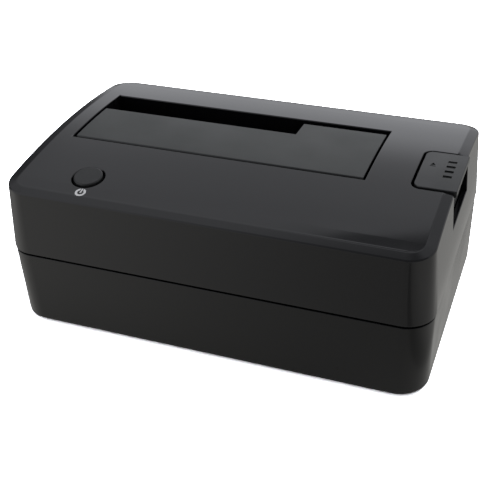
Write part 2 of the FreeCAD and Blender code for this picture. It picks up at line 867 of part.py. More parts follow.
def power_button():
    """Round cap with a flange under the roof and a short stem."""
    cap = upright(power_button_x, power_button_y, power_collar_height - power_flange_thickness,
                  body_height + roof_thickness, power_button_radius).common(roof(-power_button_proud))
    crown = [edge for edge in cap.Edges
             if edge.BoundBox.ZMin > power_collar_height and edge.BoundBox.XLength > power_button_radius]
    cap = cap.makeChamfer(power_button_edge, crown)
    flange = upright(power_button_x, power_button_y, power_collar_height - power_flange_thickness,
                     power_collar_height,
                     power_button_radius + power_button_gap + power_flange_width)
    stem = upright(power_button_x, power_button_y, plunger_top, power_collar_height, power_stem_radius)
    return joined([cap, flange, stem])


def switch_plunger():
    """Plunger of the push switch."""
    neck = upright(power_button_x, power_button_y, switch_top - power_stroke - touch_gap, switch_top,
                   plunger_radius - touch_gap)
    head = upright(power_button_x, power_button_y, switch_top, plunger_top, plunger_radius - touch_gap)
    return joined([neck, head])


def switch_leg_places():
    """Legs of the push switch in two rows."""
    reach = switch_size / 4
    return [(power_button_x + x, power_button_y + y)
            for x in spread(-reach, reach, switch_leg_count) for y in (-reach, reach)]


def power_switch():
    """Body of the push switch, with its plunger well and six legs through the board."""
    half = switch_size / 2
    body = block(power_button_x - half, power_button_x + half, power_button_y - half,
                 power_button_y + half, button_board_top, switch_top)
    body = body.makeChamfer(switch_edge, [edge for edge in body.Edges if edge.BoundBox.ZLength > half])
    well = upright(power_button_x, power_button_y, switch_top - 2 * power_stroke - 2 * touch_gap,
                   switch_top + over_cut, plunger_radius - touch_gap + slide_gap)
    legs = [upright(x, y, button_board_bottom - switch_leg_length, button_board_top + blind_end,
                    switch_leg_radius) for x, y in switch_leg_places()]
    return joined([body] + legs).cut(well)


def button_board():
    """Small board under the power button."""
    x0 = power_button_x - button_board_length / 2
    y0 = power_button_y - button_board_width / 2
    board = rounded_prism(x0, x0 + button_board_length, y0, y0 + button_board_width,
                          button_board_bottom, button_board_top, button_board_corner_radius,
                          button_board_corner_radius)
    low = button_board_bottom - over_cut
    high = button_board_top + over_cut
    holes = [upright(x, y, low, high, small_screw_radius + port_gap) for x, y in button_boss_places()]
    holes += [upright(x, y, low, high, switch_leg_radius) for x, y in switch_leg_places()]
    return board.cut(joined(holes))


def status_led():
    """Small lamp on the board that lights the gap round the power button."""
    y = power_button_y - switch_size / 2 - lamp_from_switch
    step = button_board_top + lamp_base_height
    base = centred_block(power_button_x, y, lamp_length, lamp_width, button_board_top, step)
    lens = centred_block(power_button_x, y, lamp_lens_length, lamp_lens_width, step, step + lamp_lens_height)
    return joined([base, lens])


# Eject group

def eject_button():
    """Cap flush with the roof, with a skirt, a guide stem and a split barb that holds it in."""
    over = body_height + roof_thickness
    stack = rounded_prism(eject_left, cap_outer, eject_front, eject_back, pocket_floor, over,
                          eject_corner_radius, 0)
    cap = stack.common(roof(0)).cut(roof(eject_cap_thickness))
    skirt_right = top_length / 2 + wall_flare - wall - 2 * eject_gap
    skirt_bottom = roof_line(eject_middle) - eject_cap_thickness - eject_skirt_length
    outer = rounded_prism(eject_left, skirt_right, eject_front, eject_back, skirt_bottom, over,
                          eject_corner_radius, 0)
    inner = rounded_prism(eject_left + eject_skirt_wall, skirt_right - eject_skirt_wall,
                          eject_front + eject_skirt_wall, eject_back - eject_skirt_wall,
                          skirt_bottom - over_cut, over, eject_corner_radius - eject_skirt_wall, 0)
    skirt = outer.cut(inner).common(roof(eject_cap_thickness / 2))
    stem = upright(stem_x, eject_middle, stem_bottom, over, stem_radius)
    stem = stem.common(roof(eject_cap_thickness / 2))
    barb_top = pocket_floor - pocket_wall - guide_length
    barb = Part.makeCone(stem_radius, stem_radius + barb_width, barb_height,
                         Vector(stem_x, eject_middle, barb_top - barb_height), Vector(0, 0, 1))
    slit = block(stem_x - barb_slit / 2, stem_x + barb_slit / 2, eject_middle - 2 * stem_radius,
                 eject_middle + 2 * stem_radius, stem_bottom + 2 * stem_radius, barb_top + 2 * barb_height)
    return joined([cap, skirt, stem, barb]).cut(slit)


def eject_spring():
    """Compression spring round the stem, between the pocket floor and the cap."""
    height = roof_line(eject_middle) - eject_cap_thickness - pocket_floor - 2 * touch_gap
    pitch = (height - 2 * eject_spring_wire_radius) / eject_spring_turns
    spring = coil(eject_spring_coil_radius, eject_spring_wire_radius, pitch, eject_spring_turns)
    spring.translate(Vector(stem_x, eject_middle, pocket_floor + eject_spring_wire_radius + touch_gap / 2))
    return spring


def eject_lever():
    """See-saw: the button's stem pushes its nose down, and its cross bar lifts the drive."""
    half = lever_arm_height / 2
    pivot = lever_pivot_height
    nose = pivot + lever_nose_lift
    bar_top = bay_floor_top - touch_gap
    bar_right = lever_tip_x + lever_bar_width
    side = [
        (lever_tip_x, pivot - half), (lever_pivot_x, pivot - half), (lever_elbow_x, pivot - half),
        (stem_x + lever_nose_radius, nose - lever_nose_radius), (stem_x + lever_nose_radius, nose),
        (stem_x - lever_nose_radius, nose), (lever_elbow_x, pivot + half),
        (bar_right + half, pivot + half), (bar_right, bar_top), (lever_tip_x, bar_top),
    ]
    arm = prism([Vector(x, lever_front, z) for x, z in side], Vector(0, lever_width, 0))
    nose_bar = bar_y(stem_x, lever_front, lever_back, nose, lever_nose_radius)
    boss = bar_y(lever_pivot_x, lever_front, lever_back, pivot, lever_boss_radius)
    cross_bar = block(lever_tip_x, bar_right, lever_front, lever_bar_back, pivot - half, bar_top)
    lever = joined([arm, nose_bar, boss, cross_bar])
    bore = bar_y(lever_pivot_x, lever_front - over_cut, lever_back + over_cut, pivot,
                 lever_pin_radius + slide_gap)
    return lever.cut(bore)


def eject_lever_pin():
    """Steel pin of the see-saw, held in the two ears under the bay."""
    reach = touch_gap + ear_thickness
    return bar_y(lever_pivot_x, lever_front - reach, lever_back + reach, lever_pivot_height,
                 lever_pin_radius)


# Main board group

def main_board():
    """Bridge board in the lower shell."""
    board = rounded_prism(board_left, board_right, board_front, board_back, board_underside, board_top,
                          board_corner_radius, board_corner_radius)
    holes = [upright(x, y, board_underside - over_cut, board_top + over_cut, small_screw_radius + port_gap)
             for x, y in board_screw_places()]
    return board.cut(joined(holes))


def tongue_slots():
    """Start, end and pin count of the two slots in the drive connector, signal and power."""
    signal = signal_pin_count * pin_pitch + pin_end_room
    power = power_pin_count * pin_pitch + pin_end_room
    start = connector_x - (signal + power + slot_divider) / 2
    second = start + signal + slot_divider
    return [(start, start + signal, signal_pin_count), (second, second + power, power_pin_count)]


def sata_connector():
    """Upright drive connector with its two keyed slots and its end guides."""
    top = board_top + connector_height
    body = connector_block(-connector_shoulder, board_top, top)
    flange = connector_block(0, board_top, bay_underside - touch_gap)
    crest = [edge for edge in body.Edges if edge.BoundBox.ZMin > top - connector_edge]
    body = body.makeChamfer(connector_edge, crest)
    half = tongue_slot_width / 2
    low = top - connector_bore_depth
    high = top + over_cut
    cuts = []
    for x0, x1, _ in tongue_slots():
        cuts.append(block(x0, x1, connector_y - half, connector_y + half, low, high))
        cuts.append(block(x0, x0 + slot_key_length, connector_y - half - slot_key_depth, connector_y,
                          low, high))
    return joined([body, flange]).cut(joined(cuts))


def sata_contacts():
    """Gold springs in the slots of the drive connector."""
    top = board_top + connector_height
    face = connector_y + tongue_slot_width / 2
    strips = []
    for x0, x1, count in tongue_slots():
        middle = (x0 + x1) / 2
        reach = (count - 1) * pin_pitch / 2
        for x in spread(middle - reach, middle + reach, count):
            strips.append(block(x - contact_width / 2, x + contact_width / 2, face - contact_thickness, face,
                                top - connector_bore_depth, top - contact_setback))
    return Part.makeCompound(strips)


def usb_socket_shell():
    """Folded steel shell of the USB socket, open at the back of the dock."""
    mouth = board_back + wall
    solid = prism(usb_profile(0, mouth - usb_depth), Vector(0, usb_depth, 0))
    hollow = prism(usb_profile(-usb_sheet, mouth - usb_depth + usb_sheet), Vector(0, usb_depth, 0))
    return solid.cut(hollow)


def usb_socket_tongue():
    """Insulator inside the USB socket: a square tongue below and a thin one above."""
    mouth = board_back + wall
    root = mouth - usb_depth + usb_sheet
    base = prism(usb_profile(-usb_sheet - held_gap, root), Vector(0, usb_depth / 3, 0))
    middle = board_top + usb_lower_height / 2
    tongue = block(usb_x - usb_tongue_width / 2, usb_x + usb_tongue_width / 2, root,
                   mouth - usb_tongue_setback, middle - usb_tongue_thickness / 2,
                   middle + usb_tongue_thickness / 2)
    blade_middle = board_top + usb_lower_height + usb_upper_height / 2 - usb_blade_thickness / 2
    blade = block(usb_x - usb_blade_width / 2, usb_x + usb_blade_width / 2, root,
                  mouth - usb_blade_setback, blade_middle - usb_blade_thickness / 2,
                  blade_middle + usb_blade_thickness / 2)
    return joined([base, tongue, blade])


def power_jack():
    """Moulded barrel jack with a round nose through the back wall."""
    mouth = board_back + wall
    face = board_back - port_gap
    z = jack_axis_height()
    half = jack_width / 2
    body = block(jack_x - half, jack_x + half, face - jack_depth, face, board_top, board_top + jack_height)
    crest = [edge for edge in body.Edges if edge.BoundBox.YLength > half and edge.BoundBox.ZMin > z]
    body = body.makeChamfer(jack_edge, crest)
    nose = bar_y(jack_x, face - over_cut, mouth, z, jack_nose_radius)
    bore = bar_y(jack_x, mouth - jack_bore_depth, mouth + over_cut, z, jack_bore_radius)
    return joined([body, nose]).cut(bore)


def power_jack_pin():
    """Centre pin of the barrel jack."""
    mouth = board_back + wall
    z = jack_axis_height()
    end = mouth - jack_pin_setback
    pin = bar_y(jack_x, mouth - jack_bore_depth, end, z, jack_pin_radius)
    tip = [edge for edge in pin.Edges if edge.BoundBox.YMin > end - jack_pin_rounding]
    return pin.makeFillet(jack_pin_rounding, tip)


def chip_legs(x, y, pitch, count, inner, outer, along_x):
    """Flat legs on both sides of a chip, spread along one direction."""
    reach = (count - 1) * pitch / 2
    half = chip_leg_width / 2
    legs = []
    for place in spread(-reach, reach, count):
        for a, b in ((-outer, -inner), (inner, outer)):
            if along_x:
                legs.append(block(x + place - half, x + place + half, y + a, y + b,
                                  board_top, board_top + chip_leg_thickness))
            else:
                legs.append(block(x + a, x + b, y + place - half, y + place + half,
                                  board_top, board_top + chip_leg_thickness))
    return legs


def chip_body(x, length, width, height):
    """Moulded block of a chip with softened upper edges."""
    body = centred_block(x, chip_row_y, length, width, board_top + chip_lift, board_top + height)
    crest = [edge for edge in body.Edges if edge.BoundBox.ZMin > board_top + height - chip_edge]
    return body.makeChamfer(chip_edge, crest)


def bridge_chip():
    """Flat square controller chip with legs on four sides."""
    inner = bridge_chip_size / 2 - chip_edge
    outer = bridge_chip_size / 2 + bridge_chip_leg
    solids = [chip_body(bridge_chip_x, bridge_chip_size, bridge_chip_size, bridge_chip_height)]
    for along_x in (True, False):
        solids += chip_legs(bridge_chip_x, chip_row_y, bridge_chip_leg_pitch, bridge_chip_leg_count,
                            inner, outer, along_x)
    return joined(solids)


def firmware_chip():
    """Eight-leg memory chip beside the controller."""
    inner = firmware_chip_width / 2 - chip_edge
    outer = firmware_chip_width / 2 + firmware_chip_leg
    body = chip_body(firmware_chip_x, firmware_chip_width, firmware_chip_length, firmware_chip_height)
    return joined([body] + chip_legs(firmware_chip_x, chip_row_y, pin_pitch, firmware_chip_leg_count,
                                     inner, outer, False))


def capacitors():
    """Upright electrolytic capacitors near the power jack's supply line."""
    top = board_top + capacitor_height
    cans = []
    for index in range(capacitor_count):
        can = upright(capacitor_x + index * capacitor_spacing, board_front + capacitor_from_front,
                      board_top, top, capacitor_radius)
        rim = [edge for edge in can.Edges if edge.BoundBox.ZMin > top - capacitor_rounding]
        cans.append(can.makeChamfer(capacitor_rounding, rim))
    return Part.makeCompound(cans)


def power_inductor():
    """Shielded coil of the supply, a low rounded block with a dimple."""
    y = board_front + supply_row_from_front
    half = inductor_size / 2
    top = board_top + inductor_height
    body = rounded_prism(inductor_x - half, inductor_x + half, y - half, y + half, board_top, top,
                         inductor_corner_radius, inductor_corner_radius)
    dimple = upright(inductor_x, y, top - inductor_dimple_depth, top + over_cut, inductor_dimple_radius)
    return body.cut(dimple)


def crystal():
    """Metal can of the clock crystal with rounded ends on a flat base."""
    y = board_front + supply_row_from_front
    layers = [
        (0, board_top, board_top + crystal_base_height),
        (crystal_rim, board_top + crystal_base_height, board_top + crystal_height),
    ]
    solids = []
    for rim, low, high in layers:
        half_x = crystal_length / 2 - rim
        half_y = crystal_width / 2 - rim
        radius = half_y - chip_lift
        solids.append(rounded_prism(crystal_x - half_x, crystal_x + half_x, y - half_y, y + half_y,
                                    low, high, radius, radius))
    return joined(solids)


def cable_headers():
    """Upright plug housings at both ends of the button cable."""
    pair = []
    for low, mouth in ((board_top, board_top + header_height),
                       (button_board_bottom - header_height, button_board_bottom - header_height)):
        body = centred_block(cable_x, cable_y, header_length, header_width, low, low + header_height)
        well = centred_block(cable_x, cable_y, cable_width, cable_thickness,
                             mouth - header_depth, mouth + header_depth)
        pair.append(body.cut(well))
    return Part.makeCompound(pair)


def button_cable():
    """Flat cable that bows gently between the two headers."""
    low = board_top + header_height - header_depth
    high = button_board_bottom - header_height + header_depth
    bows = (0, cable_bow / 2, cable_bow, cable_bow / 2, 0)
    heights = spread(low + cable_straight_end, high - cable_straight_end, len(bows))
    inner = [Vector(cable_x, cable_y + bow, z) for bow, z in zip(bows, heights)]
    curve = Part.BSplineCurve()
    curve.interpolate(Points=inner, InitialTangent=Vector(0, 0, 1), FinalTangent=Vector(0, 0, 1))
    path = Part.Wire([
        Part.LineSegment(Vector(cable_x, cable_y, low), inner[0]).toShape(),
        curve.toShape(),
        Part.LineSegment(inner[-1], Vector(cable_x, cable_y, high)).toShape(),
    ])
    corners = [(-1, -1), (1, -1), (1, 1), (-1, 1), (-1, -1)]
    section = Part.makePolygon([
        Vector(cable_x + sx * cable_width / 2, cable_y + sy * cable_thickness / 2, low) for sx, sy in corners
    ])
    return path.makePipeShell([section], True, False)


# Fasteners and feet

def case_screws():
    """Four long screws up through the posts of the lower shell."""
    seat = post_split - screw_seat_thickness
    return Part.makeCompound([
        screw(x, y, seat - case_screw_head_height, case_screw_head_height, case_screw_head_radius,
              case_screw_radius, post_split + post_gap + case_screw_bite)
        for x, y in both_sides(post_x, post_y)
    ])


def hanging_screws(places, seat, tip):
    """Small screws driven upwards from a seat."""
    return Part.makeCompound([
        screw(x, y, seat - small_screw_head_height, small_screw_head_height, small_screw_head_radius,
              small_screw_radius, tip) for x, y in places
    ])


def bay_screws():
    """Four screws that hold the bay under the roof."""
    return hanging_screws(bay_screw_places(), rim_bottom - bay_ear_thickness, rim_bottom + small_screw_bite)


def button_board_screws():
    """Two screws that hold the button board under its bosses."""
    return hanging_screws(button_boss_places(), button_board_bottom, button_board_top + small_screw_bite)


def board_screws():
    """Four screws driven down through the main board."""
    group = []
    for x, y in board_screw_places():
        piece = screw(0, 0, 0, small_screw_head_height, small_screw_head_radius, small_screw_radius,
                      small_screw_head_height + board_thickness + small_screw_bite)
        piece.rotate(Vector(0, 0, 0), Vector(1, 0, 0), 180)
        piece.translate(Vector(x, y, board_top + small_screw_head_height))
        group.append(piece)
    return Part.makeCompound(group)


def rubber_feet():
    """Four round feet seated in the recesses of the lower shell."""
    feet = []
    for x, y in both_sides(foot_x, foot_y):
        foot = upright(x, y, 0, foot_proud + foot_recess, foot_radius - held_gap)
        rim = [edge for edge in foot.Edges if edge.BoundBox.ZMax < foot_edge]
        feet.append(foot.makeChamfer(foot_edge, rim))
    return Part.makeCompound(feet)


pieces = [
    upper_shell, lower_shell, drive_bay, flap_door, flap_hinge_pin, flap_spring,
    power_button, switch_plunger, power_switch, button_board, status_led, button_board_screws,
    eject_button, eject_spring, eject_lever, eject_lever_pin,
    main_board, sata_connector, sata_contacts, usb_socket_shell, usb_socket_tongue,
    power_jack, power_jack_pin, bridge_chip, firmware_chip, capacitors, power_inductor, crystal,
    cable_headers, button_cable, board_screws, case_screws, bay_screws, rubber_feet,
]

os.makedirs("parts", exist_ok=True)
for make in pieces:
    shape = make()
    shape.exportStep("parts/%s.step" % make.__name__)
    box = shape.BoundBox
    print("%-22s solids %2d valid %s volume %9.2f  x %7.2f %7.2f  y %7.2f %7.2f  z %6.2f %6.2f" % (
        make.__name__, len(shape.Solids), shape.isValid(), shape.Volume,
        box.XMin, box.XMax, box.YMin, box.YMax, box.ZMin, box.ZMax))
print("lever throw in degrees %.3f, radians per metre of button travel %.3f" % (
    lever_throw, math.radians(lever_throw) / (eject_stroke / 1000)))
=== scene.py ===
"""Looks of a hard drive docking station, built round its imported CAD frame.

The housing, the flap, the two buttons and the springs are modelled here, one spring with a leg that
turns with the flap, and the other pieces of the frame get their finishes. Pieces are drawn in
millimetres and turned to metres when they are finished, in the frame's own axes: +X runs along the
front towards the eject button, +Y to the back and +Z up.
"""

import logging
import math
from dataclasses import dataclass
from enum import Enum
from typing import Callable, Iterable

import bmesh
import bpy
from mathutils import Matrix, Vector
from mathutils.bvhtree import BVHTree

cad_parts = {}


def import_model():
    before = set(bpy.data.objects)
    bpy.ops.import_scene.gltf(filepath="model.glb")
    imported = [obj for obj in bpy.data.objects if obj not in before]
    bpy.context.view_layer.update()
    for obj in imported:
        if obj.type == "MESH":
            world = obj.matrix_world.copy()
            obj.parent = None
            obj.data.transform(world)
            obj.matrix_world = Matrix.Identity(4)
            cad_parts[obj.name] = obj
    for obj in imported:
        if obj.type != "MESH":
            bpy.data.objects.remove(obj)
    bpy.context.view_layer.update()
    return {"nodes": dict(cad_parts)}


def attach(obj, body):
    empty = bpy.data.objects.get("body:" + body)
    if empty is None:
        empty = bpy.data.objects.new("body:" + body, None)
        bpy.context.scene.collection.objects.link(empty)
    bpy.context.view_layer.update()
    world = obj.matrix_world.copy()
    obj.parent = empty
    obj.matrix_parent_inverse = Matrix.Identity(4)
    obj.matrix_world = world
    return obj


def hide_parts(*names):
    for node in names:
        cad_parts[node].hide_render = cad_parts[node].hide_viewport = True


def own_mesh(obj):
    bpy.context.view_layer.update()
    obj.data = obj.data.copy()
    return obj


logging.basicConfig(level=logging.INFO, format="%(message)s")
LOG = logging.getLogger("dock")

Mesh = bmesh.types.BMesh
Edge = bmesh.types.BMEdge
Tree = bpy.types.NodeTree
Socket = bpy.types.NodeSocket
Item = bpy.types.Object
Colour = tuple[float, float, float, float]
Place = tuple[float, float, float]
EdgeTest = Callable[[Edge], bool]
Facing = Callable[[Vector], Vector | None]

MM = 0.001
ORIGIN = (0.0, 0.0, 0.0)
UP = (0.0, 0.0, 1.0)
BACKWARD = (0.0, 1.0, 0.0)
# Angles from which an edge is rounded, and from which it is shaded as sharp
ROUNDED_EDGE = math.radians(30)
SHARP_EDGE = math.radians(40)
# A face counts as an upper or lower side if its normal is at least this upright
UPPER_SIDE = 0.9
# A corner normal takes the arch's exact one only if it is this close to it
ARCH_LIKENESS = math.cos(math.radians(8))
# Distances in millimetres: same height, welded, and how far a cutter reaches past what it cuts
LEVEL = 1e-3
WELD = 1e-4
SPARE = 1.0
# Sides of rods: small ones, and round edges that show
FEW_SIDES = 32
MANY_SIDES = 96
CORNER_STEPS = 16


def linear(code: str, factor: float = 1.0) -> Colour:
    """Turn an sRGB hex code into a linear colour.

    Args:
        code: Six hex digits with a leading mark.
        factor: Multiplier of the linear value.

    Returns:
        Red, green, blue and alpha, capped at white.
    """
    parts = [int(code[i : i + 2], 16) / 255 for i in (1, 3, 5)]
    parts = [c / 12.92 if c <= 0.04045 else ((c + 0.055) / 1.055) ** 2.4 for c in parts]
    return (*[min(part * factor, 1.0) for part in parts], 1.0)


def linked(name: str, data: bpy.types.ID) -> Item:
    """Add an object with its data to the scene.

    Args:
        name: Name of the object.
        data: Its mesh, lamp or camera.

    Returns:
        The object.
    """
    item = bpy.data.objects.new(name, data)
    bpy.context.scene.collection.objects.link(item)
    return item


def emptied(owner: bpy.types.ID) -> Tree:
    """Clear the node tree of a material or world.

    Args:
        owner: The material or world.

    Returns:
        Its node tree.
    """
    owner.use_nodes = True
    owner.node_tree.nodes.clear()
    return owner.node_tree


def node(tree: Tree, kind: str, inputs: dict | None = None) -> bpy.types.Node:
    """Add one node with its settings and links.

    Args:
        tree: Node tree of a material or world.
        kind: Blender's name of the node type.
        inputs: Values or output sockets by input name.

    Returns:
        The new node.
    """
    made = tree.nodes.new(kind)
    for name, value in (inputs or {}).items():
        if isinstance(value, Socket):
            tree.links.new(value, made.inputs[name])
        else:
            made.inputs[name].default_value = value
    return made


@dataclass(frozen=True)
class Finish:
    """One surface: what it is made of, and how light meets it.

    Attributes:
        name: Material name and how the surface was made.
        colour: Base colour as an sRGB hex code.
        rough: Middle roughness.
        spread: How far wear and handling move the roughness.
        ior: Index of refraction.
        metal: 1 for bare metal.
        grain: Spacing of the fine grain in millimetres, drawn no finer than shows.
        grain_depth: Its height.
        wave: Spacing of the slow waviness that moulding leaves.
        wave_depth: Its height.
        mottle: Share by which the colour varies.
        brushed: Stretch of the grain along X, 1 for none.
        coat: Weight of a clear coat.
        coat_rough: Roughness of that coat.
        noise_range: Values of the slow noise between which the roughness changes.
    """

    name: str
    colour: str
    rough: float = 0.4
    spread: float = 0.05
    ior: float = 1.5
    metal: float = 0.0
    grain: float = 0.5
    grain_depth: float = 0.0
    wave: float = 12.0
    wave_depth: float = 0.0
    mottle: float = 0.05
    brushed: float = 1.0
    coat: float = 0.0
    coat_rough: float = 0.08
    noise_range: tuple[float, float] = (0.3, 0.7)

    def material(self) -> bpy.types.Material:
        """Build the node material, or return the one already built.

        Returns:
            The material.
        """
        found = bpy.data.materials.get(self.name)
        if found is not None:
            return found
        made = bpy.data.materials.new(self.name)
        tree = emptied(made)
        scale = node(tree, "ShaderNodeMapping", {
            "Vector": node(tree, "ShaderNodeTexCoord").outputs["Object"],
            "Scale": (1.0 / self.brushed, 1.0, 1.0),
        })
        slow, fine = (node(tree, "ShaderNodeTexNoise", {
            "Vector": scale.outputs["Vector"], "Scale": 1.0 / (spacing * MM), "Detail": detail,
        }).outputs["Fac"] for spacing, detail in ((self.wave, 3.0), (self.grain, 2.0)))
        tint = node(tree, "ShaderNodeMixRGB", {
            "Fac": slow, "Color1": linear(self.colour, 1 - self.mottle),
            "Color2": linear(self.colour, 1 + self.mottle),
        })
        rough = node(tree, "ShaderNodeMapRange", {
            "Value": slow, "From Min": self.noise_range[0], "From Max": self.noise_range[1],
            "To Min": self.rough - self.spread,
            "To Max": self.rough + self.spread,
        })
        surface = {
            "Base Color": tint.outputs["Color"], "Roughness": rough.outputs["Result"],
            "IOR": self.ior, "Metallic": self.metal, "Coat Weight": self.coat,
            "Coat Roughness": self.coat_rough,
        }
        relief = {}
        for height, depth in ((slow, self.wave_depth), (fine, self.grain_depth)):
            if depth > 0:
                bump = node(tree, "ShaderNodeBump", {
                    "Height": height, "Distance": depth * MM, "Strength": 1.0, **relief,
                })
                relief = {"Normal": bump.outputs["Normal"]}
        shader = node(tree, "ShaderNodeBsdfPrincipled", {**surface, **relief})
        node(tree, "ShaderNodeOutputMaterial", {"Surface": shader.outputs["BSDF"]})
        return made


# Gloss black ABS, moulded against polished steel: mirror images in it are dim and waver a little
GLOSS_ABS = Finish("ABS moulded gloss black", "#0f0f11", rough=0.11, spread=0.02,
                   ior=1.4, wave=14, wave_depth=0.006, mottle=0.06)
# The same ABS with a satin skin on the lower walls
SATIN_ABS = Finish("ABS moulded satin black", "#0e0e0f", rough=0.25, spread=0.03,
                   ior=1.38, grain_depth=0.004, wave=20, wave_depth=0.004)
# Spark-eroded texture, about 0.3 mm grain drawn at 0.5 mm so that it shows
MATTE_ABS = Finish("ABS spark eroded matte", "#353736", rough=0.5, spread=0.04,
                   ior=1.42, grain_depth=0.02, wave=15)
# The flap's sides, which have no texture
EDGE_ABS = Finish("ABS moulded smooth edge", "#0b0b0c", rough=0.2, ior=1.4, mottle=0.04)
KEY_ABS = Finish("ABS moulded key", "#191a1a", rough=0.45, spread=0.04, ior=1.42,
                 grain=0.45, grain_depth=0.01)
# The key plastic in a lighter tone than the power key, with a thin clear coat
EJECT_ABS = Finish("ABS moulded key, lighter tone", "#1e1f1f", rough=0.45, spread=0.04,
                   ior=1.42, grain=0.45, grain_depth=0.01, coat=0.13)
BAY_ABS = Finish("ABS moulded inner black", "#0c0c0e", rough=0.55, grain=0.7, grain_depth=0.01)
ACETAL = Finish("Acetal natural moulded", "#cfcdc4", rough=0.45, grain=0.8, grain_depth=0.006)
NYLON = Finish("Nylon glass filled black", "#131313", rough=0.5, grain=0.4, grain_depth=0.01)
USB_BLUE = Finish("Nylon moulded blue", "#1563b4", grain=0.4, grain_depth=0.006)
VINYL = Finish("PVC flat cable grey", "#9a9a98", rough=0.5, grain=1.0, grain_depth=0.02)
SOLDER_MASK = Finish("Glass epoxy with solder resist", "#0f4a24", rough=0.3, coat=0.4, mottle=0.12, wave=5)
EPOXY = Finish("Epoxy moulded chip", "#161616", rough=0.6, grain=0.3, grain_depth=0.006)
LENS = Finish("Polycarbonate clear", "#dfe8f2", rough=0.15, ior=1.58)
STEEL = Finish("Steel drawn bright", "#b9babc", rough=0.28, metal=1.0, grain=0.3,
               grain_depth=0.002, brushed=8.0)
SPRING_STEEL = Finish("Spring steel drawn", "#8f9092", rough=0.32, metal=1.0)
BLACK_ZINC = Finish("Steel black zinc", "#232325", metal=0.7)
NICKEL = Finish("Steel nickel plated", "#c9c7c0", rough=0.2, metal=1.0, grain=0.4, grain_depth=0.002)
GOLD = Finish("Bronze gold flashed", "#e3b65c", rough=0.25, metal=1.0)
ALUMINIUM = Finish("Aluminium can sleeved", "#a9abad", rough=0.35, metal=1.0)
RUBBER = Finish("Rubber moulded black", "#1a1a1a", rough=0.8, grain_depth=0.03)
WHITE_INK = Finish("Pad printed white ink", "#d8d8d8", rough=0.5, mottle=0.04, wave=1.5)

NODE_FINISHES: dict[str, Finish] = {
    "drive_bay": BAY_ABS, "flap_hinge_pin": STEEL, "flap_spring": SPRING_STEEL,
    "switch_plunger": NYLON, "power_switch": NYLON, "button_board": SOLDER_MASK,
    "status_led": LENS, "button_board_screws": BLACK_ZINC, "eject_spring": SPRING_STEEL,
    "eject_lever": ACETAL, "eject_lever_pin": STEEL, "main_board": SOLDER_MASK,
    "sata_connector": NYLON, "sata_contacts": GOLD, "usb_socket_shell": NICKEL,
    "usb_socket_tongue": USB_BLUE, "power_jack": NYLON, "power_jack_pin": NICKEL,
    "bridge_chip": EPOXY, "firmware_chip": EPOXY, "capacitors": ALUMINIUM,
    "power_inductor": EPOXY, "crystal": NICKEL, "cable_headers": ACETAL, "button_cable": VINYL,
    "board_screws": BLACK_ZINC, "case_screws": BLACK_ZINC, "bay_screws": BLACK_ZINC,
    "rubber_feet": RUBBER, "upper_shell": GLOSS_ABS, "lower_shell": SATIN_ABS,
    "flap_door": MATTE_ABS, "power_button": KEY_ABS, "eject_button": EJECT_ABS,
}


class Axis(Enum):
    """Direction of a rod: the axis and the angle of the turn that lays an upright rod along it."""

    X = ("Y", math.pi / 2)
    Y = ("X", -math.pi / 2)
    Z = ("Z", 0.0)

    def turn(self) -> Matrix:
        """Rotation from upright to this direction."""
        name, angle = self.value
        return Matrix.Rotation(angle, 3, name)


def moved(mesh: Mesh, step: Iterable[float], turn: Matrix | None = None) -> Mesh:
    """Turn a mesh about the origin if asked to, and move it.

    Args:
        mesh: Any mesh.
        step: Distances along X, Y and Z.
        turn: Rotation, where there is one.

    Returns:
        The same mesh.
    """
    if turn is not None:
        bmesh.ops.rotate(mesh, cent=ORIGIN, matrix=turn, verts=mesh.verts)
    bmesh.ops.translate(mesh, vec=step, verts=mesh.verts)
    return mesh


def block(x0: float, x1: float, y0: float, y1: float, z0: float, z1: float) -> Mesh:
    """Box between two corners.

    Args:
        x0: Left side.
        x1: Right side.
        y0: Front.
        y1: Back.
        z0: Lower side.
        z1: Upper side.

    Returns:
        The closed box.
    """
    mesh = bmesh.new()
    bmesh.ops.create_cube(mesh, size=1.0)
    bmesh.ops.scale(mesh, vec=(x1 - x0, y1 - y0, z1 - z0), verts=mesh.verts)
    return moved(mesh, ((x0 + x1) / 2, (y0 + y1) / 2, (z0 + z1) / 2))


def rod(start: Place, length: float, radius: float, axis: Axis = Axis.Z, sides: int = 64,
        end_radius: float | None = None) -> Mesh:
    """Round bar or cone.

    Args:
        start: Middle of the lower end.
        length: Length along the axis.
        radius: Radius at the start.
        axis: Direction of the bar.
        sides: Number of flats that stand for the round.
        end_radius: Radius at the far end, where it differs.

    Returns:
        The closed bar.
    """
    mesh = bmesh.new()
    bmesh.ops.create_cone(mesh, cap_ends=True, segments=sides, radius1=radius,
                          radius2=radius if end_radius is None else end_radius, depth=length)
    return moved(moved(mesh, (0, 0, length / 2)), start, axis.turn())


def rods(places: Iterable[tuple[float, float]], low: float, length: float, radius: float,
         sides: int = 64) -> list[Mesh]:
    """Upright rods of one size at several places."""
    return [rod((x, y, low), length, radius, sides=sides) for x, y in places]


def winding(radius: float, wire: float, pitch: float, turns: float, sides: int = 12, steps: int = 32) -> Mesh:
    """Round wire wound upward.

    Args:
        radius: Radius of the wire's middle line.
        wire: Radius of the wire.
        pitch: Rise of each turn.
        turns: Number of turns.
        sides: Flats round the wire.
        steps: Steps of each turn.

    Returns:
        The closed winding, which starts on the X axis.
    """
    mesh = bmesh.new()
    bmesh.ops.create_circle(mesh, cap_ends=True, segments=sides, radius=wire)
    moved(mesh, (radius, 0, 0), Matrix.Rotation(math.pi / 2, 3, "X"))
    bmesh.ops.spin(mesh, geom=mesh.verts[:] + mesh.edges[:] + mesh.faces[:], cent=ORIGIN, axis=UP,
                   dvec=(0, 0, pitch / steps), angle=math.tau * turns, steps=round(turns * steps))
    bmesh.ops.recalc_face_normals(mesh, faces=mesh.faces)
    return mesh


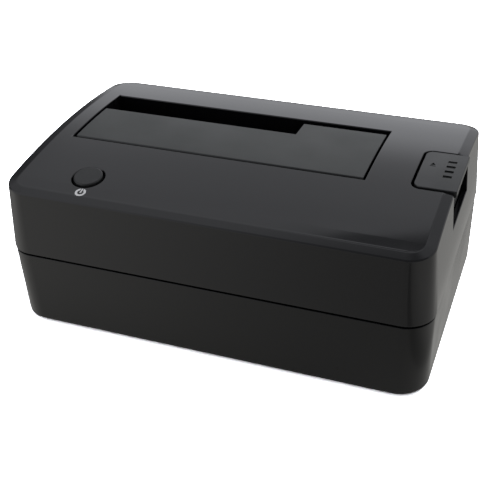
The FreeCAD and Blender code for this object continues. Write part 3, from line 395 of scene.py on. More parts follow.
def bevel(mesh: Mesh, geometry: list, radius: float, steps: int, kind: str = "EDGES") -> None:
    """Round edges or corners.

    Args:
        mesh: Mesh that they belong to.
        geometry: The edges or vertices.
        radius: Size of the rounding.
        steps: Segments of the rounding.
        kind: "EDGES" or "VERTICES".
    """
    bmesh.ops.bevel(mesh, geom=geometry, offset=radius, offset_type="OFFSET", affect=kind,
                    segments=steps, profile=0.5, material=-1)


def plate(x0: float, x1: float, y0: float, y1: float, z: float, left: float, right: float,
          steps: int = 12) -> Mesh:
    """Flat face with rounded corners that points up.

    Args:
        x0: Left end.
        x1: Right end.
        y0: Front edge.
        y1: Back edge.
        z: Height.
        left: Radius of the two left corners.
        right: Radius of the two right corners.
        steps: Segments of each corner.

    Returns:
        A bmesh with one face.
    """
    mesh = bmesh.new()
    bmesh.ops.create_grid(mesh, x_segments=1, y_segments=1, size=0.5)
    bmesh.ops.scale(mesh, vec=(x1 - x0, y1 - y0, 1.0), verts=mesh.verts)
    middle = (x0 + x1) / 2
    moved(mesh, (middle, (y0 + y1) / 2, z))
    corners = mesh.verts[:]
    for radius, sign in ((left, -1), (right, 1)):
        chosen = [vert for vert in corners if vert.is_valid and (vert.co.x - middle) * sign > 0]
        if radius > 0:
            bevel(mesh, chosen, radius, steps, "VERTICES")
    for face in mesh.faces:
        if face.normal.z < 0:
            face.normal_flip()
    return mesh


def raised(mesh: Mesh, height: float) -> Mesh:
    """Turn a flat plate into a closed prism.

    Args:
        mesh: Flat plate.
        height: Height of the prism.

    Returns:
        The same mesh.
    """
    grown = bmesh.ops.extrude_face_region(mesh, geom=mesh.faces[:])["geom"]
    bmesh.ops.translate(mesh, vec=(0, 0, height),
                        verts=[item for item in grown if isinstance(item, bmesh.types.BMVert)])
    bmesh.ops.recalc_face_normals(mesh, faces=mesh.faces)
    return mesh


def cut_at(mesh: Mesh, normal: Place, places: Iterable[float]) -> None:
    """Cut all faces by parallel planes, so that they can bend there.

    Args:
        mesh: Any mesh.
        normal: Normal of the planes.
        places: Their distances from the origin.
    """
    for place in places:
        bmesh.ops.bisect_plane(mesh, geom=mesh.verts[:] + mesh.edges[:] + mesh.faces[:],
                               dist=2 * LEVEL, plane_co=Vector(normal) * place, plane_no=normal)


def evenly(first: float, last: float, count: int) -> list[float]:
    """Places between two ends, without the ends."""
    return [first + (last - first) * i / (count + 1) for i in range(1, count + 1)]


class Solid:
    """A closed body in millimetres that tools add to or cut from."""

    def __init__(self, mesh: Mesh) -> None:
        """Take over a bmesh.

        Args:
            mesh: Closed mesh, which is freed.
        """
        data = bpy.data.meshes.new("work")
        mesh.to_mesh(data)
        mesh.free()
        self.item = linked("work", data)

    def evaluated(self) -> Item:
        """The body with its modifiers worked out."""
        bpy.context.view_layer.update()
        return self.item.evaluated_get(bpy.context.evaluated_depsgraph_get())

    def meet(self, operation: str, tools: Iterable[Mesh]) -> None:
        """Change this body with each tool in turn.

        Args:
            operation: Blender's name of the boolean operation.
            tools: Closed meshes.
        """
        for tool in tools:
            other = Solid(tool)
            change = self.item.modifiers.new("change", "BOOLEAN")
            change.operation = operation
            change.solver = "EXACT"
            change.object = other.item
            result = bpy.data.meshes.new_from_object(self.evaluated())
            self.item.modifiers.clear()
            old = self.item.data
            self.item.data = result
            bpy.data.meshes.remove(old)
            other.discard()

    def add(self, *tools: Mesh) -> None:
        """Join tools to this body."""
        self.meet("UNION", tools)

    def cut(self, *tools: Mesh) -> None:
        """Cut tools from this body."""
        self.meet("DIFFERENCE", tools)

    def discard(self) -> None:
        """Remove the body from the scene."""
        data = self.item.data
        bpy.data.objects.remove(self.item)
        bpy.data.meshes.remove(data)

    def taken(self) -> Mesh:
        """Copy the body.

        Returns:
            A new bmesh.
        """
        mesh = bmesh.new()
        mesh.from_mesh(self.item.data)
        return mesh

    def spent(self) -> Mesh:
        """Copy the body, and remove it from the scene.

        Returns:
            A new bmesh.
        """
        mesh = self.taken()
        self.discard()
        return mesh

    def skin(self) -> EdgeTest:
        """Remember the present surface.

        Returns:
            A test for edges that lie on it.
        """
        mesh = self.taken()
        tree = BVHTree.FromBMesh(mesh)
        mesh.free()
        reach = 0.02

        def test(edge: Edge) -> bool:
            """Find the surface at both ends and the middle of an edge.

            Args:
                edge: Edge of the body after later changes.

            Returns:
                Whether all three lie on the surface.
            """
            ends = [vert.co for vert in edge.verts]
            points = [*ends, (ends[0] + ends[1]) / 2]
            return all(tree.find_nearest(point, reach)[0] is not None for point in points)

        return test

    def soften(self, radius: float, chosen: EdgeTest, steps: int = 3) -> None:
        """Round sharp edges.

        Args:
            radius: Edge radius.
            chosen: Test of each sharp edge.
            steps: Segments of the rounding.
        """
        mesh = self.taken()
        bmesh.ops.remove_doubles(mesh, verts=mesh.verts, dist=WELD)
        bmesh.ops.dissolve_degenerate(mesh, edges=mesh.edges, dist=WELD)
        sharp = [edge for edge in mesh.edges if len(edge.link_faces) == 2
                 and edge.calc_face_angle(0.0) > ROUNDED_EDGE and chosen(edge)]
        bevel(mesh, sharp, radius, steps)
        mesh.to_mesh(self.item.data)
        mesh.free()

    def shade_evenly(self, exact: Facing | None) -> None:
        """Weight the corner normals by face size, and set the exact ones where they are known.

        Args:
            exact: Function of a place that returns its normal or None.
        """
        data = self.item.data
        weighted = self.item.modifiers.new("even shading", "WEIGHTED_NORMAL")
        weighted.keep_sharp = True
        normals = [corner.vector.copy() for corner in self.evaluated().data.corner_normals]
        self.item.modifiers.clear()
        for index, loop in enumerate(data.loops):
            known = exact(data.vertices[loop.vertex_index].co / MM) if exact else None
            if known is not None and known.dot(normals[index]) > ARCH_LIKENESS:
                normals[index] = known
        data.normals_split_custom_set(normals)

    def finish(self, name: str, surface: Finish, body: str, *stands_for: str,
               slot: str | None = None, exact: Facing | None = None) -> Item:
        """Turn the body into a finished piece of the dock.

        Args:
            name: Name of the piece.
            surface: Its finish.
            body: Body of the frame that it rides on.
            *stands_for: Nodes of the frame that it replaces.
            slot: Material slot of the record; not used.
            exact: Function of a place that returns its exact normal or None.

        Returns:
            The piece.
        """
        mesh = self.taken()
        bmesh.ops.scale(mesh, vec=(MM, MM, MM), verts=mesh.verts)
        for face in mesh.faces:
            face.smooth = True
            face.material_index = 0
        data = self.item.data
        mesh.to_mesh(data)
        mesh.free()
        data.materials.clear()
        data.materials.append(surface.material())
        data.set_sharp_from_angle(angle=SHARP_EDGE)
        data.name = name
        self.item.name = name
        self.shade_evenly(exact)
        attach(self.item, body)
        if stands_for:
            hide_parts(*stands_for)
        LOG.info("%s: %d faces on %s", name, len(data.polygons), body)
        return self.item


@dataclass(frozen=True)
class Dock:
    """Sizes of the outer body and of what its roof has room for, in millimetres."""

    length: float = 140.8
    width: float = 89.4
    height: float = 55.8
    parting: float = 28.3
    groove: float = 0.9
    groove_depth: float = 1.0
    flare: float = 1.4
    top_radius: float = 8.0
    base_radius: float = 10.0
    arch_rise: float = 3.9
    bevel_width: float = 3.0
    bevel_fall: float = 0.7
    wall: float = 2.2
    roof_thickness: float = 2.5
    floor_thickness: float = 2.0
    feet: float = 1.0
    step: float = 0.3
    draft: float = 0.3
    post_x: float = 62.5
    post_y: float = 37.0
    post_radius: float = 3.9
    post_split: float = 24.3
    post_gap: float = 0.3
    post_length: float = 25.0
    bay_left: float = -61.2
    bay_right: float = 42.3
    bay_front: float = -11.1
    bay_back: float = 25.4
    rim_wall: float = 1.6
    rim_bottom: float = 46.0
    slot_right: float = 12.0
    slot_front: float = 12.8
    key_x: float = -43.9
    key_y: float = -32.4
    key_radius: float = 4.8
    key_gap: float = 0.6
    collar_wall: float = 2.0
    collar_bottom: float = 49.96
    collar_height: float = 5.0
    eject_left: float = 57.1
    eject_right: float = 70.8
    eject_front: float = -10.3
    eject_back: float = 13.6
    eject_radius: float = 2.5
    eject_gap: float = 0.4
    eject_left_gap: float = 0.8
    eject_front_gap: float = 1.3
    eject_cap: float = 2.2
    notch_bottom: float = 42.5
    pocket_floor: float = 35.0
    stem_x: float = 63.0
    stem_radius: float = 2.6
    guide_drop: float = 7.6
    guide_length: float = 10.0
    guide_wall: float = 1.9
    guide_gap: float = 0.1
    hinge_x: float = -3.35
    hinge_y: float = -8.9
    hinge_z: float = 51.2965

    @property
    def arch_radius(self) -> float:
        """Radius of the arched roof."""
        return ((self.width / 2) ** 2 + self.arch_rise**2) / (2 * self.arch_rise)

    def roof(self, y: float, drop: float = 0.0) -> float:
        """Height of the arch, lowered by drop, at a distance from the middle."""
        return self.height - drop - self.arch_radius + math.sqrt(self.arch_radius**2 - y * y)

    def under(self, mesh: Mesh, drop: float, bottom: float | None = None, strips: int = 6) -> Mesh:
        """Let the upper end of a column follow the roof.

        Args:
            mesh: Column with a flat top.
            drop: Distance below the roof.
            bottom: Distance of the lower end below the roof, where that follows it too.
            strips: Number of cuts that let the top bend.

        Returns:
            The same mesh.
        """
        high = max(vert.co.z for vert in mesh.verts)
        low = min(vert.co.z for vert in mesh.verts)
        ys = [vert.co.y for vert in mesh.verts]
        cut_at(mesh, BACKWARD, evenly(min(ys), max(ys), strips))
        for vert in mesh.verts:
            if abs(vert.co.z - high) < LEVEL:
                vert.co.z = self.roof(vert.co.y, drop)
            elif bottom is not None and abs(vert.co.z - low) < LEVEL:
                vert.co.z = self.roof(vert.co.y, bottom)
        return mesh

    def facing(self, drop: float = 0.0) -> Facing:
        """Exact normal of the arch, for places that lie on it.

        Args:
            drop: Distance of the arch below the roof.

        Returns:
            A function of a place that returns its normal, or None off the arch.
        """
        reach = 0.01

        def normal(place: Vector) -> Vector | None:
            """Normal of the arch at a place.

            Args:
                place: Place in millimetres.

            Returns:
                The normal, or None off the arch.
            """
            if abs(place.z - self.roof(place.y, drop)) > reach:
                return None
            upward = math.sqrt(self.arch_radius**2 - place.y**2)
            return Vector((0.0, place.y, upward)) / self.arch_radius

        return normal

    def eject_plate(self, right: float, z: float, grow: float = 0.0, gaps: bool = False) -> Mesh:
        """Outline of the eject button, square at the right end.

        Args:
            right: Right end.
            z: Height.
            grow: Distance outward at the other three sides.
            gaps: Whether those sides also leave the gaps round the button.

        Returns:
            A plate.
        """
        gap_sizes = (self.eject_left_gap, self.eject_front_gap, self.eject_gap)
        left, front, back = (grow + gap * gaps for gap in gap_sizes)
        return plate(self.eject_left - left, right, self.eject_front - front, self.eject_back + back,
                     z, self.eject_radius + left, 0)

    def posts(self) -> list[tuple[float, float]]:
        """Places of the four screw posts."""
        return self.corners(self.post_x, self.post_y)

    @staticmethod
    def corners(x: float, y: float) -> list[tuple[float, float]]:
        """Places mirrored to the four corners of the body."""
        return [(sx * x, sy * y) for sx in (-1, 1) for sy in (-1, 1)]

    @property
    def eject_middle(self) -> float:
        """Middle of the eject button across the body."""
        return (self.eject_front + self.eject_back) / 2

    @property
    def key_hole(self) -> float:
        """Radius of the hole for the power button."""
        return self.key_radius + self.key_gap


@dataclass
class Part:
    """A sub-assembly, drawn from the shared sizes in millimetres."""

    dock: Dock


@dataclass
class UpperHousing(Part):
    """Gloss roof and upper walls, with the openings in them."""

    edge_radius: float = 0.25
    crest_radius: float = 0.5
    crest_steps: int = 4
    lip_radius: float = 0.4
    strips: int = 34
    chamfer_room: float = 1.0

    def body(self, inset: float, low: float, border: bool) -> Mesh:
        """Flared walls under the arched roof.

        Args:
            inset: Distance of the walls inside the outer face.
            low: Height of the lower end.
            border: Whether the roof gets its bevelled border.

        Returns:
            The closed body. Without a border it lies below the roof by the roof's thickness.
        """
        d = self.dock
        half_x, half_y = d.length / 2 - inset, d.width / 2 - inset
        radius = d.top_radius - inset
        mesh = plate(-half_x, half_x, -half_y, half_y, 0, radius, radius, CORNER_STEPS)
        places = sorted({round(vert.co.y, 3) for vert in mesh.verts})[1:-1]
        cut_at(mesh, BACKWARD, places + evenly(radius - half_y, half_y - radius, self.strips))
        # Heights 0, 1 and 2 stand for the lower end, the roof's edge and the roof inside its border
        raised(mesh, 1.0)
        rounded = []
        if border:
            top = [face for face in mesh.faces if face.normal.z > UPPER_SIDE]
            bmesh.ops.inset_region(mesh, faces=top, thickness=d.bevel_width, use_even_offset=True)
            bmesh.ops.translate(mesh, vec=UP, verts=list({v for face in top for v in face.verts}))
            rounded = [edge for edge in mesh.edges if self.is_ring(edge)]
        edge_height = d.height - d.bevel_fall - d.arch_rise
        core_x, core_y = half_x - radius, half_y - radius
        drops = (0.0, d.bevel_fall, 0.0) if border else (0.0, d.roof_thickness)
        for vert in mesh.verts:
            level = round(vert.co.z)
            vert.co.z = d.roof(vert.co.y, drops[level]) if level else low
            grow = d.flare * (edge_height - vert.co.z) / (edge_height - d.parting)
            centre = Vector((max(-core_x, min(core_x, vert.co.x)), max(-core_y, min(core_y, vert.co.y))))
            vert.co.xy += (vert.co.xy - centre).normalized() * grow
        if border:
            bevel(mesh, rounded, self.crest_radius, self.crest_steps)
        bmesh.ops.recalc_face_normals(mesh, faces=mesh.faces)
        return mesh

    @staticmethod
    def is_ring(edge: Edge) -> bool:
        """Find the edges round the outer and the inner side of the border.

        Args:
            edge: Edge of the body before it is bent.

        Returns:
            Whether it is one of them.
        """
        low, high = (round(vert.co.z) for vert in edge.verts)
        sloped = [face for face in edge.link_faces if len({round(v.co.z) for v in face.verts}) > 1]
        return low == high and low > 0 and bool(sloped)

    def inner_columns(self) -> list[Mesh]:
        """Walls, tubes and bosses that hang from the roof.

        Returns:
            Closed meshes with their upper ends inside the roof.
        """
        d = self.dock
        wall = d.rim_wall
        pocket = d.eject_plate(d.length / 2 - d.wall / 2, d.pocket_floor - wall, wall, True)
        columns = [
            block(d.bay_left - wall, d.bay_right + wall, d.bay_front - wall, d.bay_back + wall,
                  d.rim_bottom, d.height),
            raised(pocket, d.height - d.pocket_floor + wall),
            rod((d.stem_x, d.eject_middle, d.pocket_floor - d.guide_drop), d.guide_length,
                d.stem_radius + d.guide_wall),
            rod((d.key_x, d.key_y, d.collar_bottom), d.collar_height, d.key_hole + d.collar_wall),
        ]
        columns += rods(d.posts(), d.post_split + d.post_gap, d.post_length, d.post_radius, FEW_SIDES)
        for column in columns:
            if max(vert.co.z for vert in column.verts) > d.collar_bottom - SPARE:
                d.under(column, d.roof_thickness / 2)
        return columns

    def cutters(self) -> list[Mesh]:
        """Bay opening, eject pocket with its side notch, button hole and stem guide.

        Returns:
            Closed meshes that are cut away.
        """
        d = self.dock
        over = d.height + 2 * SPARE
        inner_wall = d.length / 2 + d.flare - d.wall - d.eject_gap
        cuts = [block(d.bay_left, d.bay_right, d.bay_front, d.bay_back, d.rim_bottom - SPARE, over)]
        for right, floor in ((inner_wall, d.pocket_floor), (d.length / 2 + 3 * SPARE, d.notch_bottom)):
            cuts.append(raised(d.eject_plate(right, floor, 0, True), over - floor))
        return [
            *cuts,
            rod((d.key_x, d.key_y, d.collar_bottom - SPARE), 8 * SPARE, d.key_hole, sides=MANY_SIDES),
            rod((d.stem_x, d.eject_middle, d.pocket_floor - d.guide_length), 1.5 * d.guide_length,
                d.stem_radius + d.guide_gap),
            self.lip(),
            self.funnel(),
        ]

    def lip(self) -> Mesh:
        """What is cut away to round the back edge of the bay opening.

        Returns:
            A closed mesh.
        """
        d, radius = self.dock, self.lip_radius
        y = d.bay_back + radius
        z = d.roof(y) - radius
        corner = Solid(block(d.bay_left, d.bay_right, d.bay_back - SPARE, y, z, d.height))
        corner.cut(rod((d.bay_left - SPARE, y, z), d.bay_right - d.bay_left + 2 * SPARE, radius, Axis.X))
        return corner.spent()

    def funnel(self) -> Mesh:
        """What is cut away to chamfer the rim of the button hole along the arch.

        Returns:
            A closed mesh.
        """
        d = self.dock
        mesh = rod((d.key_x, d.key_y, -self.edge_radius), 2 * self.edge_radius, d.key_hole,
                   sides=MANY_SIDES, end_radius=d.key_hole + 2 * self.edge_radius)
        for vert in mesh.verts:
            vert.co.z += d.roof(vert.co.y)
        return mesh

    def off_funnel(self, edge: Edge) -> bool:
        """Tell the chamfered rim of the button hole from other edges.

        Args:
            edge: Edge of the housing.

        Returns:
            Whether it lies away from the rim.
        """
        d = self.dock
        hole = Vector((d.key_x, d.key_y))
        return all((vert.co.xy - hole).length > d.key_hole + self.chamfer_room for vert in edge.verts)

    def build(self) -> Item:
        """Make the piece.

        Returns:
            The upper housing.
        """
        d = self.dock
        solid = Solid(self.body(0, d.parting + d.groove / 2, True))
        on_skin = solid.skin()
        solid.cut(self.body(d.wall, d.parting - SPARE, False))
        solid.add(*self.inner_columns())
        solid.cut(*self.cutters())
        solid.soften(self.edge_radius, lambda edge: on_skin(edge) and self.off_funnel(edge))
        return solid.finish("upper_housing", GLOSS_ABS, "housing", "upper_shell",
                            slot="gloss_housing", exact=d.facing())


@dataclass
class LowerHousing(Part):
    """Lower walls and floor, with the shadow groove above them, posts, ports and foot recesses."""

    edge_radius: float = 0.25
    base_edge: float = 1.2
    base_steps: int = 5
    foot_x: float = 50.0
    foot_y: float = 35.0
    foot_radius: float = 5.5
    foot_wall: float = 1.2
    foot_recess: float = 1.0
    seam_joint: float = 0.05
    screw_head: float = 3.1
    screw_hole: float = 1.8
    screw_seat: float = 5.0
    usb_x: float = -24.02
    usb_low: float = 9.6
    usb_shoulder: float = 17.6
    usb_high: float = 20.8
    usb_width: float = 9.6
    usb_upper_width: float = 6.6
    port_gap: float = 0.7
    port_depth: float = 6.0
    jack_x: float = -44.0
    jack_z: float = 15.1
    jack_radius: float = 4.6

    def ring(self, z: float, inset: float) -> Place:
        """Outline of the outer face at a height.

        Args:
            z: The height.
            inset: Distance inside the outer face.

        Returns:
            Half length, half width and corner radius.
        """
        d = self.dock
        share = (d.parting - z) / (d.parting - d.feet)
        grow = d.flare - d.step - d.draft * share - inset
        radius = d.top_radius + d.flare - d.step
        corner = radius + (d.base_radius - radius) * share - inset
        return d.length / 2 + grow, d.width / 2 + grow, corner

    def column(self, inset: float, low: float, high: float, base: bool = False) -> Mesh:
        """Body with the slight draft of the lower walls.

        Args:
            inset: Distance inside the outer face.
            low: Height of the lower end.
            high: Height of the upper end.
            base: Whether the lower edge is rounded.

        Returns:
            The closed body.
        """
        half_x, half_y, radius = self.ring(high, inset)
        mesh = raised(plate(-half_x, half_x, -half_y, half_y, low, radius, radius, CORNER_STEPS), high - low)
        insets = {low: self.base_edge if base else 0.0}
        for step in range(1, self.base_steps + 1 if base else 0):
            angle = math.pi / 2 * step / self.base_steps
            height = round(low + self.base_edge * (1 - math.cos(angle)), 4)
            insets[height] = self.base_edge * (1 - math.sin(angle))
            cut_at(mesh, UP, [height])
        for vert in mesh.verts:
            extra = next((insets[height] for height in insets if abs(height - vert.co.z) < LEVEL), 0.0)
            new_x, new_y, new_radius = self.ring(vert.co.z, inset + extra)
            old, new = (Vector((math.copysign(x - corner, vert.co.x), math.copysign(y - corner, vert.co.y)))
                        for x, y, corner in ((half_x, half_y, radius), (new_x, new_y, new_radius)))
            vert.co.xy = new + (vert.co.xy - old) / radius * new_radius
        bmesh.ops.recalc_face_normals(mesh, faces=mesh.faces)
        return mesh

    def ports(self) -> list[Mesh]:
        """Stepped opening for the USB socket, and the hole of the power jack.

        Returns:
            Closed meshes that are cut away.
        """
        inside = self.dock.width / 2 - 2 * SPARE
        cuts = []
        for width, high in ((self.usb_width, self.usb_shoulder), (self.usb_upper_width, self.usb_high)):
            half = width / 2 + self.port_gap
            cuts.append(block(self.usb_x - half, self.usb_x + half, inside, inside + self.port_depth,
                              self.usb_low - self.port_gap, high + self.port_gap))
        jack = rod((self.jack_x, inside, self.jack_z), self.port_depth, self.jack_radius, Axis.Y)
        return [*cuts, jack]

    def build(self) -> Item:
        """Make the piece.

        Returns:
            The lower housing.
        """
        d = self.dock
        seam_low, seam_high = d.parting - d.groove / 2, d.parting + d.groove / 2
        floor = d.feet + d.floor_thickness
        solid = Solid(self.column(0, d.feet, seam_low, True))
        on_skin = solid.skin()
        solid.add(self.column(d.groove_depth, seam_low - 2 * SPARE, seam_high + self.seam_joint))
        solid.cut(self.column(d.wall, floor, seam_high + SPARE))
        under = (d.feet + floor) / 2
        recess = d.feet + self.foot_recess
        feet = d.corners(self.foot_x, self.foot_y)
        solid.add(*rods(d.posts(), under, d.post_split - under, d.post_radius))
        solid.add(*rods(feet, recess, floor - d.feet, self.foot_radius + self.foot_wall))
        seat = d.post_split - self.screw_seat
        solid.cut(*rods(d.posts(), 0, seat, self.screw_head))
        solid.cut(*rods(d.posts(), 0, d.height, self.screw_hole, FEW_SIDES))
        solid.cut(*rods(feet, 0, recess, self.foot_radius), *self.ports())
        solid.soften(self.edge_radius, on_skin)
        return solid.finish("lower_housing", SATIN_ABS, "housing", "lower_shell", slot="gloss_housing")


@dataclass
class Flap(Part):
    """Drop-down lid with its corner cut out for thin drives, ribs and hinge knuckles."""

    gap: float = 0.8
    front_gap: float = 1.0
    back_gap: float = 3.1
    drop: float = 0.15
    thickness: float = 2.0
    strips: int = 17
    front_rounding: float = 0.7
    front_steps: int = 6
    edge_radius: float = 0.35
    rib_depth: float = 1.6
    rib_width: float = 1.2
    rib_start: float = 3.7
    knuckle_radius: float = 1.85
    knuckle_length: float = 11.0
    knuckle_starts: tuple[float, ...] = (-60.0, -14.95, 30.1)
    neck: tuple[float, float] = (-1.2, 1.8)
    pin_hole: float = 1.08
    blank: tuple[float, float] = (40.0, 60.0)

    def ribs(self, x0: float, x1: float, y1: float) -> list[Mesh]:
        """Ribs under the lid.

        Args:
            x0: Left end of the lid.
            x1: Right end of the lid.
            y1: Back edge of the lid.

        Returns:
            The ribs, joined to the lid by their upper halves.
        """
        d, width = self.dock, self.rib_width
        first, last = x0 + self.knuckle_length, x1 - self.knuckle_length
        ribs = []
        for x in (first, *evenly(first, last, 2), last):
            back = y1 if x > d.slot_right else d.slot_front
            ribs.append(block(x - width / 2, x + width / 2, d.hinge_y + self.rib_start,
                              back - self.rib_depth, *self.blank))
        ribs.append(block(d.slot_right + width, d.slot_right + 2 * width, d.slot_front,
                          y1 - self.rib_depth, *self.blank))
        ribs.append(block(first, last, d.slot_front - 2 * width, d.slot_front - width, *self.blank))
        return [d.under(rib, self.drop + self.thickness / 2, self.drop + self.thickness + self.rib_depth)
                for rib in ribs]

    def build(self) -> Item:
        """Make the piece.

        Returns:
            The flap.
        """
        d = self.dock
        x0, x1 = d.bay_left + self.gap, d.bay_right - self.gap
        y0, y1 = d.bay_front + self.front_gap, d.bay_back - self.back_gap
        lid = block(x0, x1, y0, y1, *self.blank)
        solid = Solid(d.under(lid, self.drop, self.drop + self.thickness, self.strips))
        solid.cut(block(x0 - 5 * SPARE, d.slot_right, d.slot_front, y1 + 5 * SPARE, *self.blank))
        high = d.roof(y0, self.drop)
        solid.soften(self.front_rounding, lambda edge: all(
            abs(vert.co.y - y0) < 10 * LEVEL and vert.co.z > high - 100 * LEVEL for vert in edge.verts
        ), self.front_steps)
        solid.soften(self.edge_radius, lambda edge: edge.is_valid)
        solid.add(*self.ribs(x0, x1, y1))
        for x in self.knuckle_starts:
            solid.add(rod((x, d.hinge_y, d.hinge_z), self.knuckle_length, self.knuckle_radius,
                          Axis.X, FEW_SIDES))
            solid.add(block(x, x + self.knuckle_length, d.hinge_y + self.neck[0],
                            d.hinge_y + self.neck[1], d.hinge_z,
                            d.roof(d.hinge_y, self.drop + self.thickness / 2)))
        solid.cut(rod((x0 - SPARE, d.hinge_y, d.hinge_z), x1 - x0 + 2 * SPARE, self.pin_hole,
                      Axis.X, FEW_SIDES))
        made = solid.finish("flap_lid", MATTE_ABS, "flap", "flap_door", slot="flap_plastic",
                            exact=d.facing(self.drop))
        made.data.materials.append(EDGE_ABS.material())
        for face in made.data.polygons:
            face.material_index = int(abs(face.normal.z) < UPPER_SIDE)
        return made


@dataclass
class PowerButton(Part):
    """Round cap, its flange and stem, and the printed mark in front of it."""

    proud: float = 0.7
    edge_radius: float = 0.5
    edge_steps: int = 5
    flange: float = 0.9
    flange_height: float = 1.0
    stem_radius: float = 1.5
    stem_height: float = 1.8
    mark_x: float = -42.8
    mark_y: float = -40.1
    mark_radius: float = 1.8
    mark_width: float = 0.75
    mark_opening: float = 2.2
    ink: tuple[float, float] = (-0.02, 0.03)
    blank: tuple[float, float] = (50.0, 58.0)

    def cap(self) -> Item:
        """Make the button.

        Returns:
            The button.
        """
        d = self.dock
        low, high = d.collar_bottom - self.flange_height, d.height
        mesh = rod((d.key_x, d.key_y, low), high - low, d.key_radius, sides=MANY_SIDES)
        rim = [edge for edge in mesh.edges if min(v.co.z for v in edge.verts) > high - 10 * LEVEL]
        bevel(mesh, rim, self.edge_radius, self.edge_steps)
        for vert in mesh.verts:
            if vert.co.z > low + SPARE:
                vert.co.z += d.roof(vert.co.y, -self.proud) - high
        solid = Solid(mesh)
        place = [(d.key_x, d.key_y)]
        solid.add(*rods(place, low, self.flange_height, d.key_hole + self.flange))
        solid.add(*rods(place, low - self.stem_height, 2 * SPARE, self.stem_radius, FEW_SIDES))
        return solid.finish("power_key_cap", KEY_ABS, "power_key", "power_button", slot="key_plastic")

    def mark(self) -> None:
        """Print the standard power mark, an open ring with a stroke, as a skin of ink on the roof."""
        x, y = self.mark_x, self.mark_y
        low, high = self.blank
        half = self.mark_width / 3
        gap = half * self.mark_opening
        ring = Solid(rod((x, y, low), high - low, self.mark_radius))
        ring.cut(rod((x, y, low - SPARE), high - low + 2 * SPARE, self.mark_radius - self.mark_width))
        ring.cut(block(x - gap, x + gap, y, y + 4 * SPARE, low - SPARE, high + SPARE))
        ring.add(block(x - half, x + half, y - half, y + self.mark_radius, low, high))
        printed = Solid(self.dock.under(ring.spent(), *self.ink))
        printed.finish("power_mark", WHITE_INK, "housing")

    def build(self) -> Item:
        """Make both pieces and return the button."""
        self.mark()
        return self.cap()


@dataclass
class EjectButton(Part):
    """Cap that lies flush in the roof's right end, with its skirt, stem and barb."""

    strips: int = 12
    skirt_wall: float = 1.4
    skirt_length: float = 11.2
    skirt_joint: float = 0.2
    edge_radius: float = 0.3
    stem_reach: float = 12.0
    barb_height: float = 2.0
    barb_proud: float = 0.8
    slit: float = 1.0
    slit_above: float = 4.0
    bar_left: float = 64.9
    bar_length: float = 2.8
    bar_width: float = 1.4
    bar_first: float = -2.3
    bar_pitch: float = 3.25
    bar_count: int = 4
    arrow_x: float = 60.6
    arrow_y: float = 4.6
    arrow_radius: float = 1.0
    line_length: float = 1.8
    line_width: float = 0.4
    cut_depth: float = 0.45
    blank: tuple[float, float] = (43.0, 63.0)

    def marks(self) -> list[Mesh]:
        """Short engraved grip bars, and a small engraved arrowhead over a line beside them.

        Returns:
            Closed meshes that are cut away.
        """
        low, high = self.dock.height - self.cut_depth, self.dock.height + SPARE
        tools = []
        for index in range(self.bar_count):
            y = self.bar_first + index * self.bar_pitch
            tools.append(block(self.bar_left, self.bar_left + self.bar_length,
                               y - self.bar_width / 2, y + self.bar_width / 2, low, high))
        x, front = self.arrow_x, self.arrow_y - self.arrow_radius
        return [
            *tools,
            rod((x, self.arrow_y, low), 2 * SPARE, self.arrow_radius, sides=3),
            block(x - self.line_length / 2, x + self.line_length / 2, front - self.line_width, front,
                  low, high),
        ]

    def skirt(self) -> Mesh:
        """Three walls that hang from the cap; the fourth side lies open to the wall of the case.

        Returns:
            A closed mesh.
        """
        d, wall = self.dock, self.skirt_wall
        right = d.length / 2 + d.flare - d.wall - 2 * d.eject_gap
        low = d.roof(d.eject_middle) - d.eject_cap - self.skirt_length
        skirt = Solid(d.under(raised(d.eject_plate(right, low), 10 * SPARE), d.eject_cap / 2))
        skirt.cut(raised(d.eject_plate(right - wall, low - SPARE, -wall),
                         self.skirt_length + SPARE + self.skirt_joint))
        return skirt.spent()

    def build(self) -> Item:
        """Make the piece.

        Returns:
            The eject button.
        """
        d = self.dock
        low, high = self.blank
        top = raised(d.eject_plate(d.eject_right, low), high - low)
        solid = Solid(d.under(top, 0, d.eject_cap, self.strips))
        solid.soften(self.edge_radius, solid.skin())
        solid.cut(*self.marks())
        solid.add(self.skirt())
        x, y, radius = d.stem_x, d.eject_middle, d.stem_radius
        stem_low = d.pocket_floor - self.stem_reach
        barb_top = d.pocket_floor - d.guide_drop
        solid.add(rod((x, y, stem_low), d.height - stem_low - 2 * SPARE, radius))
        solid.add(rod((x, y, barb_top - self.barb_height), self.barb_height, radius,
                      end_radius=radius + self.barb_proud))
        solid.cut(block(x - self.slit / 2, x + self.slit / 2, y - 2 * radius, y + 2 * radius,
                        stem_low + 2 * radius, barb_top + self.slit_above))
        return solid.finish("eject_key_cap", EJECT_ABS, "eject_key", "eject_button",
                            slot="key_plastic", exact=d.facing())


